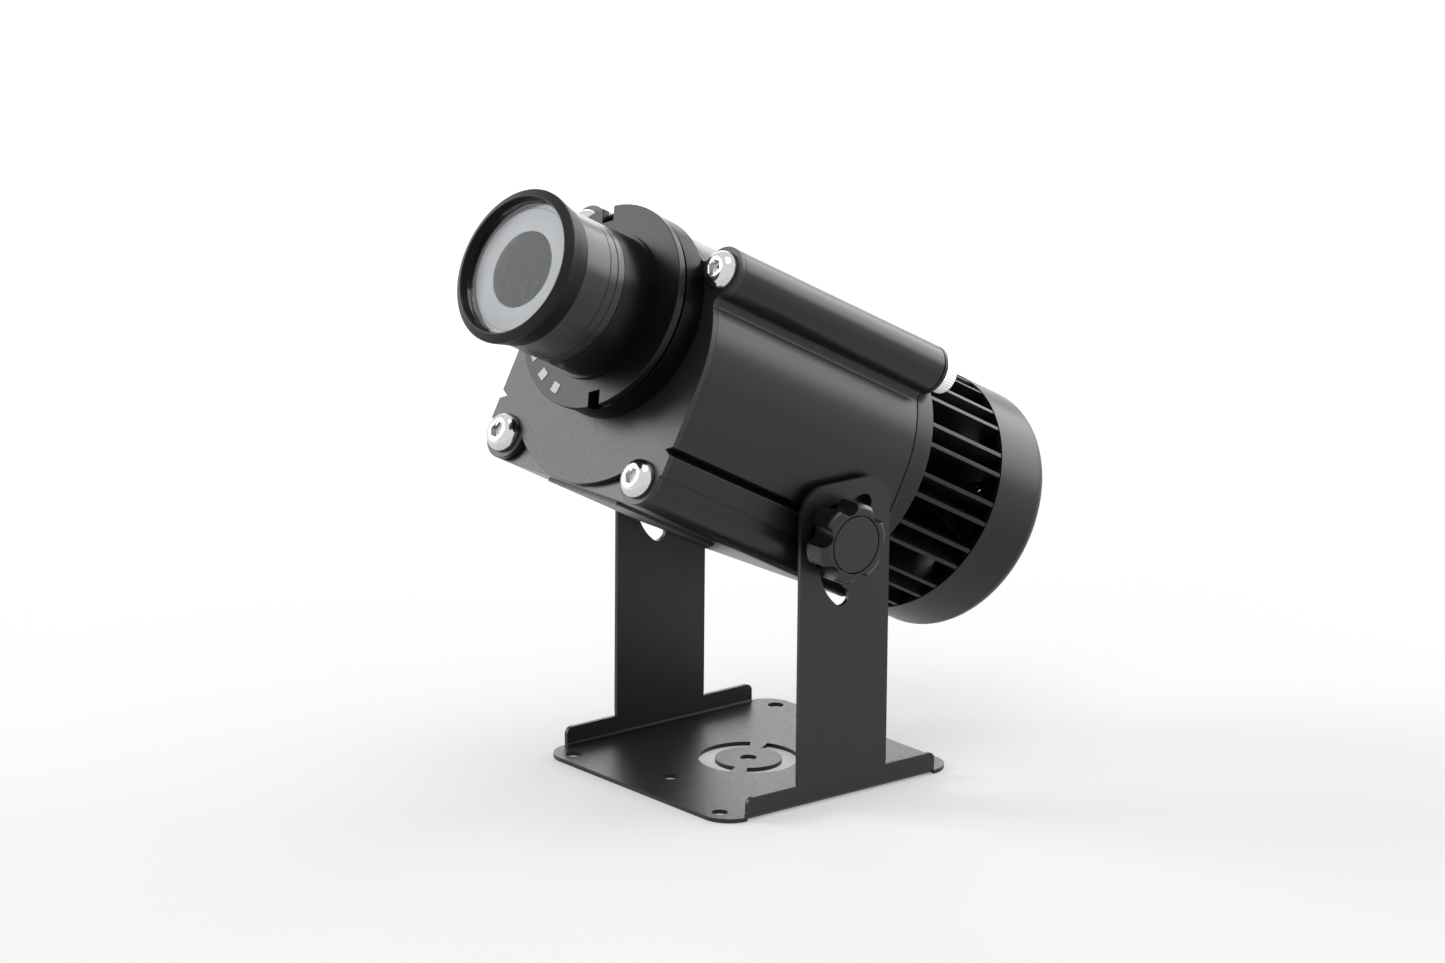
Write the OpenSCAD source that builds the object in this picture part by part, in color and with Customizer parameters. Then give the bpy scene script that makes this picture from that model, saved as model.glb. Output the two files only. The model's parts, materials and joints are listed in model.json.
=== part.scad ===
// Gobo projector: a finned, tube-shaped head that tilts in a bent sheet yoke.
// Millimetres, +Z up, the lens looks towards -Y and the tilt axis runs along X.
// The origin is the middle of the base plate's centre hole, on the plate's underside.
// Head pieces are drawn level, with y along the head and z up from the tilt axis,
// and then tilted together about the pivot.

/* [Yoke] */
// Thickness of the bent sheet
sheet_t = 1.5; // [1.2:0.1:2]
// Length of the base plate, front to back
base_l = 107; // [100:1:120]
// Corner radius of the base plate
base_corner_r = 10.5; // [8:0.5:13]
// Outside radius of the bend between base and sides
bend_r = 2.5; // [2.2:0.1:3.5]
// Height of the low side flanges above the ground
flange_h = 8.3; // [7:0.1:12]
// Corner radius of the flanges' top corners
flange_corner_r = 2.5; // [1:0.5:4]
// Width of each arm
arm_w = 40.5; // [38:0.5:46]
// Corner radius of the arm tops
arm_corner_r = 10.5; // [6:0.5:14]
// Metal left above the arc slot
arm_rim = 5.9; // [4:0.1:9]
// Gap between an arm and the side of the head
side_gap = 2.7; // [2:0.1:4]

/* [Base holes] */
// Diameter of the corner and mid holes
fix_hole_d = 5.8; // [4:0.1:7]
// Corner holes, distance in from the side edges
fix_in_x = 10.3; // [9:0.1:14]
// Corner holes, distance in from the front and back edges
fix_in_y = 6.4; // [5.5:0.1:9]
// Distance between the two mid holes, front to back
mid_hole_span = 71.8; // [60:0.1:76]
// Diameter of the centre hole
centre_hole_d = 6; // [4:0.1:8]
// Mid radius of the two pan slots round the centre hole
pan_slot_r = 15; // [12:0.5:18]
// Width of the pan slots
pan_slot_w = 6; // [4:0.1:7]
// Angle of metal left between the pan slots
pan_bridge = 20; // [15:1:40]
// Direction of the bridge between the pan slots
pan_bridge_at = 128; // [90:1:160]

/* [Tilt] */
// Tilt of the head, lens up
tilt = 28; // [-40:1:80]
// Highest tilt that the arc slots allow
tilt_up = 86; // [60:1:88]
// Lowest tilt that the arc slots allow
tilt_down = -52; // [-52:1:-20]
// Pivot, distance behind the middle of the arm
pivot_y = 9.6; // [6:0.1:10]
// Pivot, height above the ground
pivot_z = 88.3; // [88:0.1:110]
// Distance from the pivot to the clamp stud
clamp_r = 18; // [17:0.5:19]
// Diameter of the clamp studs and pivot screws
stud_d = 6; // [5:0.5:6]
// Play of the stud in the arc slot
slot_play = 0.8; // [0.4:0.1:1.5]
// Depth of the tapped side holes
side_hole_l = 11; // [8:0.5:12]
// Diameter of the spacers between arm and head
spacer_d = 13; // [10:0.5:14]
// Diameter of the pivot screws' low heads
pivot_head_d = 10; // [8:0.5:11]
// Height of the pivot screws' low heads
pivot_head_h = 1.8; // [1.2:0.1:2.2]
// Width across the corners of the pivot screws' sockets
pivot_hex = 4; // [3:0.1:5]

/* [Clamp knob] */
// Diameter over the lobes
knob_d = 28.8; // [27:0.2:34]
// Thickness of the lobed part
knob_t = 10.4; // [8:0.1:14]
// Number of lobes
knob_lobes = 6; // [5:1:8]
// Radius of the scallops between the lobes
knob_scallop_r = 4; // [3:0.1:4.2]
// Distance of the scallops' centres outside the lobes
knob_scallop_out = 0.7; // [0.4:0.1:2]
// Turn of the lobes at rest
knob_turn = 8; // [0:1:59]
// Diameter of the flat round front face
knob_face_d = 24.4; // [22:0.1:26]
// Floor of the knob under the stud's head
knob_floor = 1.5; // [1:0.1:3]
// Chamfer of the lobes' back edge
knob_back_edge = 0.8; // [0.4:0.1:1.5]
// Height of the rounded front edge of the lobes
knob_round_h = 2.9; // [1:0.1:5]
// Diameter of the inset cap
knob_cap_d = 20.2; // [16:0.1:21]
// Thickness of the inset cap
knob_cap_t = 1.6; // [1:0.1:2.5]
// Diameter of the hub under the lobes
knob_hub_d = 15; // [12:0.5:18]
// Height of the hub under the lobes
knob_hub_h = 1.5; // [1.2:0.1:3]
// Diameter of the knob washer
knob_washer_d = 14; // [12:0.5:16]
// Thickness of the knob washer
knob_washer_t = 1.2; // [1:0.1:2]
// Diameter of the stud's head inside the knob
stud_head_d = 10; // [8:0.5:12]
// Height of the stud's head inside the knob
stud_head_h = 4; // [3:0.1:5]

/* [Housing] */
// Diameter of the round core of the housing
core_d = 94.6; // [93:0.2:98]
// Wall of the housing's bore
core_wall = 3.1; // [2.5:0.1:4]
// Height of the core's axis above the tilt axis
core_rise = 30.2; // [29:0.1:32]
// Length of the housing
housing_l = 103; // [95:1:120]
// Housing's rear end, distance behind the tilt axis
rear_margin = 7.3; // [6:0.1:9]
// Thickness of the front plate
plate_t = 2.5; // [2:0.1:4]
// Diameter of the four screw bosses
boss_d = 18; // [16:0.5:19]
// Screw spacing, side to side
boss_span_x = 74.7; // [73:0.1:76]
// Screw spacing, bottom to top
boss_span_z = 76.7; // [75:0.1:78]
// Radius of the fillets beside the bosses
boss_fillet_r = 3; // [2:0.1:4]
// Height of the side groove above the tilt axis
groove_rise = 4.5; // [4:0.1:6]
// Width of the side groove's mouth
groove_w = 3.2; // [2:0.1:4]
// Depth of the side groove
groove_depth = 3.2; // [2:0.1:4]
// Depth of the crease line below the tilt axis
crease_drop = 4.6; // [4:0.1:6]

/* [Corner screws] */
// Thread diameter of the front and rear corner screws
corner_screw_d = 8; // [6:1:8]
// Head diameter of the front button heads
button_d = 14; // [10.5:0.5:14]
// Head height of the front button heads
button_h = 4.4; // [3.3:0.1:4.6]
// Diameter of the flat on top of the front button heads
button_flat_d = 7; // [6:0.1:9]
// Width across the flats of the front sockets
button_hex = 5; // [4:0.5:5]
// Length of the front screws under the head
front_screw_l = 20; // [16:1:30]
// Head diameter of the rear cap screws
cap_head_d = 13; // [10:0.5:13]
// Head height of the rear cap screws
cap_head_h = 8; // [6:0.5:8]
// Width across the flats of the rear sockets
cap_hex = 6; // [5:0.5:6]
// Length of the rear screws under the head
rear_screw_l = 18; // [14:1:30]

/* [Lens collar] */
// Height of the lens axis above the core's axis
lens_rise = 13.1; // [11:0.1:13.1]
// Outer diameter of the fixed collar
collar_d = 73.2; // [70:0.2:73.4]
// Length of the fixed collar
collar_l = 8.7; // [8.5:0.1:12]
// Thickness of the collar's rear wall
collar_back_t = 3; // [2.5:0.1:3.5]
// Thickness of the collar's front lip
collar_lip_t = 2.2; // [2:0.1:3]
// Opening through the collar's rear wall and the front plate
gobo_door_d = 40; // [39:0.5:44]
// Outer diameter of the turning flange disc
disc_d = 74.2; // [73.4:0.2:75]
// Thickness of the flange disc
disc_t = 3; // [2:0.1:5]
// Gap between the disc and the collar
disc_gap = 1.25; // [0.5:0.05:2.5]
// Diameter of the flange's neck
neck_d = 62.6; // [60:0.2:63]
// Diameter over the bayonet lugs
lug_d = 68; // [66:0.2:68.4]
// Angle that each bayonet lug covers
lug_deg = 24; // [16:1:28]
// Direction of the first bayonet lug
lug_at = 90; // [0:1:120]
// Angle by which the collar's slots are wider than the lugs
slot_extra = 4; // [2:1:6]
// Number of bayonet lugs
lugs = 3; // [3:1:4]
// Turn of the flange from locked to open
lock_turn = 33; // [30:1:40]
// Width of the spanner notches in the disc
notch_w = 5; // [3:0.1:7]
// Depth of the spanner notches in the disc
notch_depth = 5.5; // [3:0.1:7]
// Direction of the first spanner notch
notch_at = 115; // [0:1:180]
// Side of the square index marks
mark_w = 3.6; // [2.5:0.1:4.5]
// Thickness of the index marks
mark_t = 0.25; // [0.2:0.05:0.5]
// Distance of the index marks in from the disc's edge
mark_in = 4.8; // [3.5:0.1:6]
// Direction of the middle index mark
mark_at = -117.5; // [-180:0.5:0]

/* [Lens tube] */
// Outer diameter of the tube, focus ring and barrel
tube_d = 51; // [50:0.2:52]
// Wall of the tube
tube_wall = 2.4; // [2.3:0.1:2.7]
// Length of the tube ahead of the disc, with its step ring
tube_l = 14.85; // [12:0.05:20]
// Height of the step ring where tube and disc meet
step_h = 1.1; // [0.8:0.1:2.5]
// Thickness of the step ring
step_t = 1.35; // [0.8:0.05:3]
// Length of the spigot that carries the focus ring
spigot_l = 3.4; // [2.5:0.1:4]
// Step down from the tube to the spigot that carries the focus ring
spigot_step = 1.3; // [1.1:0.1:1.5]
// Length of the focus ring
focus_ring_l = 6.8; // [6:0.1:12]
// Seam left each side of the focus ring
seam = 0.15; // [0.1:0.05:0.4]
// Length of the barrel's full-size part
barrel_l = 11.25; // [10:0.05:16]
// Play of the barrel's sleeve, which slides in the tube
sleeve_play = 0.2; // [0.1:0.05:0.3]
// Length of the barrel's sleeve
sleeve_l = 20; // [18:0.5:21]
// Wall of the barrel's sleeve
sleeve_wall = 2; // [1.8:0.1:2.6]
// Width of the lip that the middle lens seats on
sleeve_lip_w = 1.5; // [1:0.1:2]
// Thickness of that lip
sleeve_lip_t = 1.2; // [0.8:0.1:2]
// Distance of that lip behind the barrel's full-size part
sleeve_lip_in = 2; // [1:0.1:3]
// Length of the barrel's keyway
key_l = 14; // [11:0.5:15]
// Diameter of the key screw
key_d = 2; // [1.5:0.1:3]
// Reach of the key screw into the keyway
key_reach = 1; // [0.7:0.1:1.2]
// Distance of the key screw behind the tube's front
key_in = 4; // [3:0.1:5]
// Depth of the fine line round the focus ring
ring_line = 0.3; // [0.2:0.05:0.5]

/* [Bezel and lenses] */
// Step down from the tube to the front lens
front_lens_step = 1.2; // [1.1:0.1:1.5]
// Width of the bezel's front face round the lens
bezel_rim = 3.6; // [3:0.1:5]
// Length of the bezel ring
bezel_l = 9.5; // [9:0.1:12]
// Length of the bezel's full-size front
bezel_front_l = 2.5; // [1.5:0.1:4]
// Wall of the bezel's rear edge
bezel_wall = 1.45; // [1.2:0.05:2]
// Width of the bezel's lip over the lens
bezel_lip_w = 0.5; // [0.4:0.1:1.5]
// Thickness of the bezel's lip
bezel_lip_t = 1.6; // [1.3:0.1:2]
// Depth of the bezel's dished front face
bezel_dish = 1.1; // [0.3:0.1:1.1]
// Chamfer of the bezel's edges
bezel_edge = 0.5; // [0.2:0.1:0.8]
// Width of the seat behind the front lens
lens_seat_w = 2.4; // [2:0.1:3]
// Edge thickness of the front lens
front_lens_t = 3; // [2:0.1:3.5]
// Height of the front lens's crown
front_lens_crown = 1.1; // [0.5:0.1:4]
// Opening of the stop behind the front lens
stop_d = 29; // [24:0.5:34]
// Length of the stop
stop_l = 7; // [5:0.1:8]
// Depth of the cone in the stop's front
stop_cone = 2.2; // [1:0.1:4]
// Edge thickness of the inner lenses
inner_lens_t = 3; // [2:0.1:4]
// Height of the inner lenses' crowns
inner_lens_crown = 2.5; // [1:0.1:3.5]
// Length of the threaded lock rings
lock_ring_l = 2.5; // [2:0.1:3]
// Radial width of the threaded lock rings
lock_ring_w = 2; // [1.5:0.1:3]
// Flat rim left outside a lens's crown, past its seat or lock ring
lens_margin = 0.3; // [0.2:0.1:0.8]
// Thickness of the lip that the rear lens seats on
tube_lip_t = 1; // [0.8:0.1:2]
// Width of the rim round the stop's cone
stop_edge = 1; // [0.6:0.1:1.5]

/* [Light engine] */
// Diameter of the gobo
gobo_d = 37; // [36:0.5:37.5]
// Thickness of the gobo
gobo_t = 1.1; // [0.5:0.1:2]
// Thickness of the clip ring that holds the gobo
clip_t = 1.2; // [0.8:0.1:1.6]
// Radial width of the clip ring
clip_w = 1.5; // [1:0.1:2]
// Gap in the clip ring
clip_gap = 4; // [2:0.5:8]
// Diameter of the light opening behind the gobo
gobo_open_d = 30; // [24:0.5:33]
// Depth of the gobo's seat
gobo_seat_l = 4.5; // [3:0.1:5.5]
// Diameter of the gobo holder
gobo_holder_d = 61; // [58:0.5:61]
// Thickness of the gobo holder
gobo_holder_t = 7; // [6:0.1:10]
// Outer diameter of the condenser tube
cond_d = 44; // [42:0.5:44]
// Bore of the condenser tube
cond_bore_d = 40; // [38.4:0.2:40.4]
// Thickness of the lip between the two condenser lenses
cond_lip_t = 2; // [1:0.1:3]
// Radial width of that lip
cond_lip_w = 1.5; // [1:0.1:1.8]
// Distance of that lip ahead of the rear flange
cond_lip_in = 19; // [16:0.5:24]
// Diameter of the condenser tube's foot
cond_foot_d = 61; // [58:0.5:61]
// Thickness of the condenser tube's foot
cond_foot_t = 3; // [2:0.1:5]
// Diameter of the small machine screws
small_screw_d = 3; // [2.5:0.1:3]
// Head diameter of the small machine screws
small_head_d = 5.4; // [4.5:0.1:5.5]
// Head height of the small machine screws
small_head_h = 2.5; // [2:0.1:3]
// Width across the corners of the small screws' sockets
small_hex = 2.6; // [2:0.1:2.8]
// Grip of the small screws in the rear flange
small_grip = 5; // [4:0.5:6]
// Diameter of the LED board
led_board_d = 27; // [24:0.5:28]
// Thickness of the LED board
led_board_t = 1.6; // [1:0.1:2]
// Diameter of the LED's light field
led_field_d = 14; // [9:0.5:16]
// Thickness of the LED's light field
led_field_t = 0.8; // [0.5:0.1:1.5]
// Diameter of the LED holder
led_holder_d = 39; // [38.5:0.5:39.5]
// Height of the LED holder
led_holder_h = 4; // [3:0.1:5]
// Head diameter of the LED holder's screws
led_head_d = 4.6; // [4:0.1:5]
// Ledge between the light field and the LED holder's cone
led_cone_gap = 1; // [0.5:0.1:2]
// Widening of the LED holder's cone, each side
led_cone_w = 3; // [1:0.1:4]

/* [Driver] */
// Height of the driver board's underside above the tilt axis
board_rise = -5; // [-6:0.1:-4]
// Thickness of the driver board
board_t = 1.6; // [1:0.1:2]
// Width of the driver board
board_w = 53; // [50:0.5:53]
// Width of the rails that hold the board, past its edge
rail_w = 3; // [2:0.1:4]
// Height of the rails above and below the board
rail_h = 2; // [1.5:0.1:3]
// Length of the driver board
board_l = 84; // [80:1:92]
// Gap between rows of parts on the driver board
part_gap = 8; // [6:0.5:9]
// Gap between the coil and the cans beside it
part_step = 1; // [0.5:0.1:2]
// Width of the coil
coil_w = 24; // [20:0.5:26]
// Length of the coil
coil_l = 22; // [18:0.5:24]
// Height of the coil
coil_h = 14; // [10:0.5:15]
// Width of the two power chips
chip_w = 10; // [8:0.5:12]
// Length of the two power chips
chip_l = 14; // [10:0.5:16]
// Height of the two power chips
chip_h = 4; // [3:0.5:6]
// Width of the wire terminal
plug_w = 12; // [8:0.5:14]
// Length of the wire terminal
plug_l = 8; // [6:0.5:9]
// Height of the wire terminal
plug_h = 9; // [7:0.5:10]
// Diameter of the large capacitors
can_d = 10; // [8:0.5:11]
// Height of the large capacitors
can_h = 13; // [10:0.5:14]
// Diameter of the small capacitors
small_can_d = 8; // [6:0.5:9]
// Height of the small capacitors
small_can_h = 11; // [8:0.5:13]
// Size of the bottom cover, side to side
cover_w = 40; // [36:1:60]
// Size of the bottom cover, front to back
cover_l = 49; // [44:1:60]
// Thickness of the bottom cover
cover_t = 1.2; // [1.2:0.1:3]
// Bottom cover's front edge, distance behind the plate's face
cover_set_back = 10.7; // [8:0.1:20]
// Rim of housing under the bottom cover, round the service opening
cover_rim = 8; // [6:0.5:9]
// Corner radius of the bottom cover
cover_corner_r = 1.5; // [1:0.1:4]
// Length of the bottom cover's screws
cover_screw_l = 3; // [2.5:0.1:3.2]
// Head height of the bottom cover's screws, which are sunk flush
cover_head_h = 0.8; // [0.6:0.1:0.8]

/* [Heat sink] */
// Thickness of the ears under the rear screws
ear_t = 2; // [1.5:0.1:4]
// Diameter of the rear flange's round base
sink_base_d = 93; // [88:0.5:93.5]
// Thickness of the rear flange's round base, with the ears
sink_base_t = 9.7; // [6:0.1:12]
// Diameter of the two screws that hold the fins to the base
sink_screw_d = 4; // [3:0.5:4]
// Length of those screws under the head
sink_screw_l = 14; // [10:1:20]
// Head diameter of those screws
sink_head_d = 7; // [5.5:0.1:7]
// Head height of those screws
sink_head_h = 4; // [3:0.1:4.5]
// Depth of those heads below the base's face
sink_sunk = 0.3; // [0.2:0.1:0.8]
// Distance of those screws from the middle, sideways
sink_screw_x = 7; // [6:0.5:8]
// Distance of those screws below the core's axis
sink_screw_drop = 10; // [8:0.5:10]
// Diameter over the fins
fin_span = 89; // [84:0.5:90]
// Length of the fins, base to cap
fin_l = 39.2; // [34:0.1:46]
// Number of forked fins
fins = 15; // [10:1:16]
// Thickness of the fins
fin_t = 1.5; // [1.2:0.1:2]
// Angle between the two tips of a forked fin
fin_fork = 9.8; // [7:0.1:11]
// Distance from the axis at which a fin forks
fin_fork_r = 28; // [22:0.5:32]
// Diameter of the heat sink's solid core
fin_core_d = 30; // [20:1:36]

/* [Rear cap] */
// Room between the fan's corners and the rear cap's wall
fan_room = 1.83; // [1.5:0.01:3]
// Length of the rear cap
cap_l = 25.6; // [25:0.1:36]
// Wall of the rear cap
cap_wall = 2.2; // [2:0.1:2.7]
// Thickness of the rear cap's back
cap_back_t = 3; // [2:0.1:4]
// Radius of the rear cap's back edge
cap_round_r = 5.5; // [3:0.5:5.5]
// Length of fin tip inside the rear cap
cap_lap = 5.8; // [3:0.1:6.5]
// Width of the spokes in the rear vent
vent_spoke = 4; // [3:0.1:6]
// Width of each ring slot in the rear vent
vent_slot = 3; // [2:0.1:4]
// Width of metal between the ring slots
vent_land = 1.8; // [1.5:0.1:3]
// Diameter of the posts that take the cap screws
post_d = 7.5; // [6:0.5:8]
// Gap between a post and the cap's wall
post_gap = 1.35; // [1:0.05:2]
// Depth of the tapped holes in the posts
post_thread_l = 9; // [7:0.5:12]
// Length of cap screw in a post
post_grip = 7; // [5:0.5:7]
// Head diameter of the cap screws
cap_screw_head_d = 4.5; // [4.5:0.1:6]
// Head height of the cap screws
cap_screw_head_h = 1.8; // [1.5:0.1:2.5]
// Radius at which the ring slots of the rear vent start
vent_first_r = 8; // [6:0.5:10]

/* [Fan and inlet] */
// Side of the square fan
fan_w = 60; // [58:1:60]
// Thickness of the fan
fan_t = 15; // [12:0.5:15]
// Distance of the fan's holes in from its sides
fan_hole_in = 5; // [4.5:0.1:6]
// Wall of the fan frame, where it is thinnest
fan_wall = 1.5; // [1:0.1:2.5]
// Diameter of the fan's hub
fan_hub_d = 28; // [22:1:32]
// Number of fan blades
fan_blades = 7; // [5:1:9]
// Gap between blades and frame
fan_tip_gap = 1; // [0.8:0.1:2]
// Diameter of the fan's shaft
fan_shaft_d = 3; // [2:0.5:4]
// Diameter of the fan screws
fan_screw_d = 4; // [3:0.5:4]
// Length of the fan screws
fan_screw_l = 15; // [10:0.5:17]
// Head diameter of the fan screws
fan_head_d = 6.8; // [6:0.1:8]
// Head height of the fan screws
fan_head_h = 2.2; // [1.8:0.1:2.6]
// Width across the corners of the fan screws' sockets
fan_hex = 3; // [2:0.1:3]
// Corner radius of the fan frame
fan_corner_r = 4; // [2:0.5:5]
// Width of the struts that hold the fan's middle
fan_strut_w = 3; // [2:0.1:5]
// Thickness of those struts
fan_strut_t = 2; // [1.5:0.1:3]
// Wall of the rotor's cup
fan_cup_wall = 1.6; // [1.2:0.1:2]
// Gap between the rotor and the frame's middle
fan_gap = 1; // [0.6:0.1:1.5]
// Chord of the fan blades
blade_chord = 13; // [10:0.5:15]
// Thickness of the fan blades
blade_t = 1.2; // [0.8:0.1:1.6]
// Pitch of the fan blades
blade_pitch = 38; // [25:1:50]
// Diameter of the power inlet's body
inlet_d = 8; // [6:0.5:8]
// Length of the power inlet's body
inlet_l = 12; // [9:0.5:14]
// Wall of the power inlet's body
inlet_wall = 1.2; // [0.8:0.1:1.5]
// Thickness of the power inlet's floor
inlet_floor = 3; // [2:0.1:4]
// Diameter of the power inlet's pin
inlet_pin_d = 2; // [1.5:0.1:2.5]
// Diameter of the power inlet's collar and across the corners of its nut
inlet_collar_d = 10; // [9:0.5:10]
// Thickness of the power inlet's collar
inlet_collar_t = 1.5; // [1:0.1:2]
// Thickness of the power inlet's nut
inlet_nut_t = 2.5; // [2:0.1:3]
// Gap between the power inlet's nut and the fan
inlet_gap = 0.6; // [0.5:0.1:1]

/* [Hidden] */
$fn = 72;
cut = 1;
fit = 0.05;
running_fit = 0.08;
face_gap = 0.1;
// Step that keeps an arc from only just touching another curve
edge_step = 0.02;
// Play of the corner screws in the plates that they clamp
screw_play = 0.2;
// Rounding of small machined edges
edge_break = 0.5;
// Steps in a rounded edge
edge_steps = 5;
// Share of a screw head's height that is its straight edge, and that is left under its socket
head_edge = 0.16;
head_floor = 0.45;

core_r = core_d / 2;
boss_r = boss_d / 2;
boss_x = boss_span_x / 2;
boss_z = boss_span_z / 2;
bore_r = core_r - core_wall;
boss_low = core_rise - boss_z;
boss_high = core_rise + boss_z;
bottom_z = boss_low - boss_r;
lens_z = core_rise + lens_rise;
stud_r = stud_d / 2;
small_r = small_screw_d / 2;

base_w = 2 * (core_r + side_gap + sheet_t);
flange_l = base_l - 2 * base_corner_r;
slot_w = stud_d + slot_play;
arm_top = pivot_z + clamp_r + slot_w / 2 + arm_rim;
arm_face = base_w / 2;
slot_from = 180 - tilt_up;
slot_to = 180 - tilt_down;

sink_y = rear_margin;
housing_y = sink_y - housing_l;
plate_y = housing_y - plate_t;
fin_y = sink_y + sink_base_t;
cap_y = fin_y + fin_l;
back_y = cap_y + cap_l;
vent_y = back_y - cap_back_t;
fan_y = vent_y - fan_t;
tip_y = cap_y + cap_lap;
cap_bore_r = (fan_w / 2 - fan_corner_r) * sqrt(2) + fan_corner_r + fan_room;
cap_r = cap_bore_r + cap_wall;

tube_bore_d = tube_d - 2 * tube_wall;
step_d = tube_d + 2 * step_h;
spigot_d = tube_d - 2 * spigot_step;
sleeve_d = tube_bore_d - 2 * sleeve_play;
sleeve_bore_d = sleeve_d - 2 * sleeve_wall;
front_lens_d = tube_d - 2 * front_lens_step;
bezel_d = front_lens_d + 2 * bezel_rim;
bezel_bore_d = front_lens_d + 2 * fit;
bezel_rear_d = bezel_bore_d + 2 * bezel_wall;
bezel_lip_d = front_lens_d - 2 * bezel_lip_w;

collar_y = plate_y - collar_l;
disc_back_y = collar_y - disc_gap;
disc_y = disc_back_y - disc_t;
chamber_back_y = plate_y - collar_back_t;
chamber_front_y = collar_y + collar_lip_t;
neck_end_y = chamber_back_y - 2 * face_gap;
lug_front_y = chamber_front_y + 2 * face_gap;
chamber_r = lug_d / 2 + 3 * face_gap;
tube_y = disc_y - tube_l;
ring_back_y = tube_y - seam;
ring_y = ring_back_y - focus_ring_l;
barrel_back_y = ring_y - seam;
barrel_y = barrel_back_y - barrel_l;
bezel_back_y = barrel_y - seam;
bezel_y = bezel_back_y - bezel_l;
lens_front_y = bezel_y + bezel_lip_t;
lens_back_y = lens_front_y + front_lens_t;
sleeve_end_y = barrel_back_y + sleeve_l;
tube_lip_y = disc_y;
rear_lens_y = tube_lip_y + tube_lip_t;
sleeve_lip_y = barrel_back_y + sleeve_lip_in;
middle_lens_y = sleeve_lip_y + sleeve_lip_t;
stop_y = lens_back_y + fit;
stop_bore_r = front_lens_d / 2 - lens_seat_w;
lens_rim = lock_ring_w + lens_margin;
front_rim = bezel_lip_w + lens_margin;

holder_back_y = housing_y + gobo_holder_t;
seat_y = housing_y + gobo_seat_l;
collar_screw_r = (cond_d / 2 + gobo_holder_d / 2) / 2;
cond_screw_r = (cond_bore_d / 2 + cond_foot_d / 2) / 2;
cond_lip_y = sink_y - cond_lip_in;
led_screw_r = (led_board_d / 2 + led_holder_d / 2) / 2;

// A child drawn in the level head frame, moved to its place in the yoke
module in_head() {
    translate([0, pivot_y, pivot_z]) rotate([-tilt, 0, 0]) children();
}

// The same, with z = 0 on the lens axis
module on_lens() {
    in_head() translate([0, 0, lens_z]) children();
}

// The same, with z = 0 on the core's axis
module on_core() {
    in_head() translate([0, 0, core_rise]) children();
}

// An outline in x and z, drawn from y0 back to y1
module slab(y0, y1) {
    translate([0, y1, 0]) rotate([90, 0, 0]) linear_extrude(y1 - y0) children();
}

// A round rod along y
module rod(y0, y1, r) {
    translate([0, y1, 0]) rotate([90, 0, 0]) cylinder(h = y1 - y0, r = r);
}

// A tapered rod along y, radius r0 at y0 and r1 at y1
module taper(y0, y1, r0, r1) {
    translate([0, y1, 0]) rotate([90, 0, 0]) cylinder(h = y1 - y0, r1 = r1, r2 = r0);
}

module tube(y0, y1, ro, ri) {
    difference() {
        rod(y0, y1, ro);
        rod(y0 - cut, y1 + cut, ri);
    }
}

// A turned shape about the y axis from points [radius, y]
module turned(points) {
    rotate([-90, 0, 0]) rotate_extrude() polygon(points);
}

// Points of a rounded edge, from radius r0 at height h0 to radius r1 at height h1
function rounded_edge(r0, r1, h0, h1) =
    [for (i = [0 : edge_steps]) [
        r1 + (r0 - r1) * cos(90 * i / edge_steps),
        h0 + (h1 - h0) * sin(90 * i / edge_steps)
    ]];

// A screw head with a rounded edge, on y0 and towards -y, with a socket in it
module round_head(y0, r, h, flat_r, hex_r) {
    difference() {
        turned(concat(
            [[0, y0], [r, y0]],
            [for (p = rounded_edge(r, flat_r, h * head_edge, h)) [p[0], y0 - p[1]]],
            [[0, y0 - h]]
        ));
        translate([0, y0 - h * head_floor, 0]) rotate([90, 0, 0]) cylinder(h = h, r = hex_r, $fn = 6);
    }
}

// A small machine screw's head, on y0 and towards -y
module small_head(y0) {
    round_head(y0, small_head_d / 2, small_head_h, small_head_d / 2 - edge_break, small_hex / 2);
}

// Children repeated round the y axis
module around(count, radius, first = 0) {
    for (i = [0 : count - 1]) {
        rotate([0, -first - i * 360 / count, 0]) translate([radius, 0, 0]) children();
    }
}

// A rod along x, from x0 to x1
module cross_rod(x0, x1, r) {
    translate([x0, 0, 0]) rotate([0, 90, 0]) cylinder(h = x1 - x0, r = r);
}

module at_pivot() {
    in_head() children();
}

module at_clamp() {
    in_head() translate([0, -clamp_r, 0]) children();
}

module on_side(side) {
    if (side > 0) {
        children();
    } else {
        mirror([1, 0, 0]) children();
    }
}

module both_sides() {
    for (side = [1, -1]) on_side(side) children();
}

module round_rect(x0, x1, y0, y1, r) {
    translate([x0 + r, y0]) square([x1 - x0 - 2 * r, y1 - y0]);
    translate([x0, y0 + r]) square([x1 - x0, y1 - y0 - 2 * r]);
    for (x = [x0 + r, x1 - r], y = [y0 + r, y1 - r]) translate([x, y]) circle(r);
}

module sector(radius, from, to) {
    steps = 12;
    polygon(concat(
        [[0, 0]],
        [for (i = [0 : steps]) let (a = from + (to - from) * i / steps) radius * [cos(a), sin(a)]]
    ));
}

module arc_slot(radius, width, from, to) {
    intersection() {
        difference() {
            circle(radius + width / 2);
            circle(radius - width / 2);
        }
        sector(2 * radius, from, to);
    }
}

// Yoke: one bent sheet

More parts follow.
